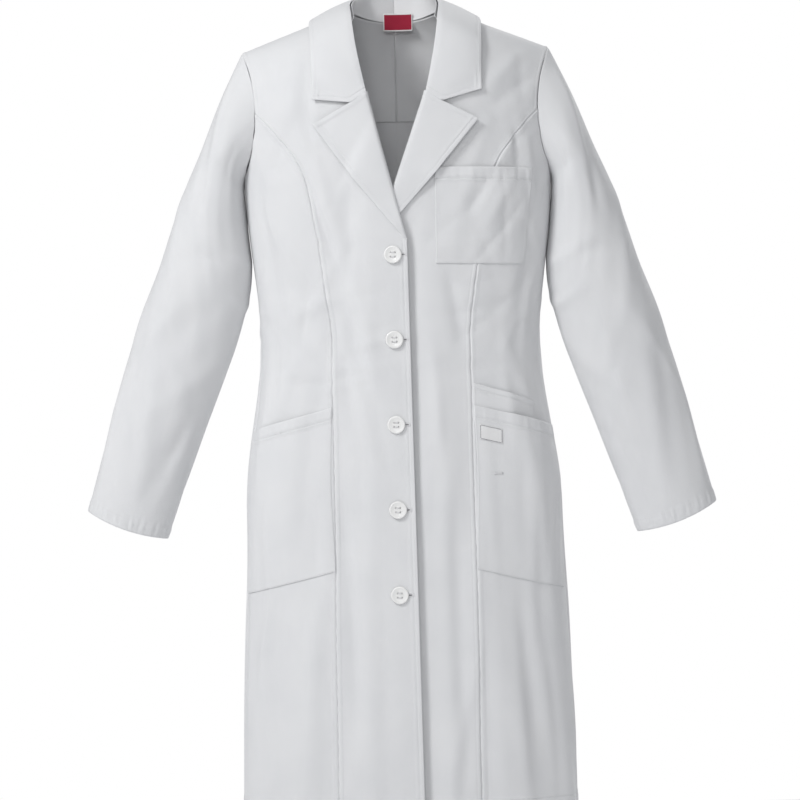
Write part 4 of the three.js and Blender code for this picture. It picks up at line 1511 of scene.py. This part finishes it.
def build_button(index, centre, front):
    x, z, height = button_shape()
    seat = front + BUTTON_THICKNESS
    front_face = np.stack([centre[0] + x, seat - height, centre[2] + z], axis=-1)
    back_face = np.stack([centre[0] + x * 0.985, seat - 0.1 + 0 * x, centre[2] + z * 0.985], axis=-1)
    nr, na = x.shape
    faces = []
    for i in range(nr - 1):
        for j in range(na):
            k = (j + 1) % na
            a, b, c, d = i * na + j, (i + 1) * na + j, (i + 1) * na + k, i * na + k
            faces.append((a, b, c, d))
            faces.append((a + nr * na, d + nr * na, c + nr * na, b + nr * na))
    last = (nr - 1) * na
    for j in range(na):
        k = (j + 1) % na
        faces.append((last + j, last + j + nr * na, last + k + nr * na, last + k))
    vertices = np.concatenate([front_face.reshape(-1, 3), back_face.reshape(-1, 3)])
    piece = new_mesh(f"button_{index}_shape", vertices, faces, None, BUTTON)
    merge_centre(piece)
    finish_piece(piece, f"button_{index}", [f"button_{index}"])
    rows = []
    for hz in (-HOLE_SPREAD, HOLE_SPREAD):
        for shift in (-0.35, 0.0, 0.35):
            t = np.linspace(-1, 1, 14)
            x = centre[0] + t * (HOLE_SPREAD + 0.2)
            y = seat - 2.25 + 1.2 * smooth(np.abs(t), 0.75, 1.0) - 0.12 * (1 - t * t)
            rows.append(np.stack([x, y, centre[2] + hz + shift + 0.15 * t], axis=-1))
    bars = tubes(f"button_{index}_thread", rows, 0.27, THREAD)
    finish_piece(bars, f"button_{index}", ())


def merge_centre(piece):
    """Joins the points that lie on each other at the middle of a button."""
    mesh = bmesh.new()
    mesh.from_mesh(piece.data)
    bmesh.ops.remove_doubles(mesh, verts=mesh.verts, dist=1e-7)
    mesh.to_mesh(piece.data)
    mesh.free()


def tubes(name, paths, radius, material, sides=8):
    """Round threads along paths."""
    vertices, faces, count = [], [], 0
    turn = np.linspace(0, 2 * math.pi, sides + 1)[:-1]
    for path in paths:
        path = np.asarray(path, float)
        forward = np.gradient(path, axis=0)
        forward /= np.linalg.norm(forward, axis=1, keepdims=True)
        up = np.where(np.abs(forward[:, 1:2]) > 0.9, np.array([[0, 0, 1.0]]), np.array([[0, -1.0, 0]]))
        side = np.cross(forward, up)
        side /= np.linalg.norm(side, axis=1, keepdims=True)
        up = np.cross(side, forward)
        ring = side[:, None] * np.cos(turn)[None, :, None] + up[:, None] * np.sin(turn)[None, :, None]
        vertices.append((path[:, None] + ring * radius).reshape(-1, 3))
        n = len(path)
        for i in range(n - 1):
            for j in range(sides):
                k = (j + 1) % sides
                a, b = count + i * sides + j, count + i * sides + k
                faces.append((a, b, b + sides, a + sides))
        faces.append(tuple(count + j for j in reversed(range(sides))))
        faces.append(tuple(count + (n - 1) * sides + j for j in range(sides)))
        count += n * sides
    return new_mesh(name, np.concatenate(vertices), faces, None, material)


def build_buttons():
    for i, (centre, front) in enumerate(zip(BUTTONS, BUTTON_FRONT), start=1):
        build_button(i, centre, front)
        back = centre[1] + BUTTON_THICKNESS / 2
        cloth_y = surface_point(centre[0], centre[2], 1.1)[1]
        t = np.linspace(0, 1, 10)
        strands = []
        for k in range(6):
            twist = k * math.pi / 3 + 1.2 * t
            spread = 0.9 - 0.25 * np.sin(math.pi * t)
            x = centre[0] + spread * np.cos(twist)
            z = centre[2] + spread * np.sin(twist)
            strands.append(np.stack([x, back + (cloth_y - back) * t, z], axis=-1))
        shank = tubes(f"button_thread_{i}_strands", strands, 0.45, THREAD)
        finish_piece(shank, "left_front", [f"button_thread_{i}"])


build_buttons()


# ---- Buttonholes: a slit with close stitches round it ----
def on_right_front(x, z, lift):
    angle, height = place(np.asarray(x, float), np.asarray(z, float))
    return body_point(angle, height, 0.6 + overlap(angle, height) + drape(angle, height) + lift)


def build_buttonholes():
    stitches_at, slit_at = [], []
    for centre in BUTTONS:
        x0, x1 = centre[0] - 9, centre[0] + 16.5
        for row_z, tall in ((1.5, 2.2), (-1.5, 2.2)):
            for x in np.arange(x0, x1, 0.62):
                ends = np.array([row_z - tall / 2, row_z, row_z + tall / 2])
                lift = np.array([0.35, 0.95, 0.35])
                stitches_at.append(on_right_front(np.full(3, x), centre[2] + ends, lift))
        for x in (x0 - 0.4, x1 + 0.2):
            for shift in np.arange(-1.2, 1.3, 0.5):
                ends = np.linspace(-2.7, 2.7, 7)
                lift = 0.95 - 0.5 * (ends / 2.7) ** 4
                stitches_at.append(on_right_front(np.full(7, x + shift), centre[2] + ends, lift))
        slit_at.append(on_right_front(np.linspace(x0 + 0.6, x1 - 0.8, 30), np.full(30, centre[2]), 0.62))
    worked = tubes("buttonhole_stitches", stitches_at, 0.33, THREAD, sides=6)
    # The dark tube along each slit is painted shade in the cut.
    slit = tubes("buttonhole_slit_shade", slit_at, 0.55, SHADE, sides=6)
    for piece in (worked, slit):
        bend_front(piece)


build_buttonholes()


# ---- Bar tacks at the pocket corners ----
def build_bar_tacks():
    """Close zigzag bars that hold the ends of the pocket mouths."""
    spots = (
        (CHEST_AREA, "left", CHEST_LIFT, (0.012, 0.988), 0.985),
        (HIP_AREA, "left", hip_left_lift, (0.012, 0.985), 0.99),
        (HIP_AREA, "right", HIP_RIGHT_LIFT, (0.012, 0.985), 0.99),
    )
    paths = []
    for area, side, lift, sides, height in spots:
        for u in sides:
            for k in range(12):
                us = np.linspace(u - 0.012, u + 0.012, 5)
                vs = np.array([height - 0.0035 * k])
                points = points_on(on_side(area, side), us, vs, lambda *at: lift(*at) + 0.9)
                paths.append(points[:, 0])
    for sign, x0, z0, lift in ((1, 111, -587, hip_left_lift), (-1, 150, -531, HIP_RIGHT_LIFT)):
        for k in range(9):
            x = sign * (x0 + np.linspace(0, 11, 6))
            angle, z = place(x, z0 - 0.25 * k + 0 * x)
            across, up = on_hip_pocket(np.abs(angle), z)
            raised = lift(angle, z, across, up) + 0.9
            paths.append(body_point(angle, z, raised + drape(angle, z)))
    piece = tubes("bar_tacks", paths, 0.28, THREAD, sides=6)
    finish_piece(piece, "torso", ())


build_bar_tacks()


# ---- Stitch rows ----
def build_stitches():
    for group, rows in THREADS.items():
        piece = stitches(f"stitches_{group}", rows, THREAD)
        if group == "torso":
            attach(piece, "torso")
        elif group.startswith("sleeve"):
            bend_sleeve(piece, group.split("_")[1])
        else:
            bend_front(piece)


build_stitches()
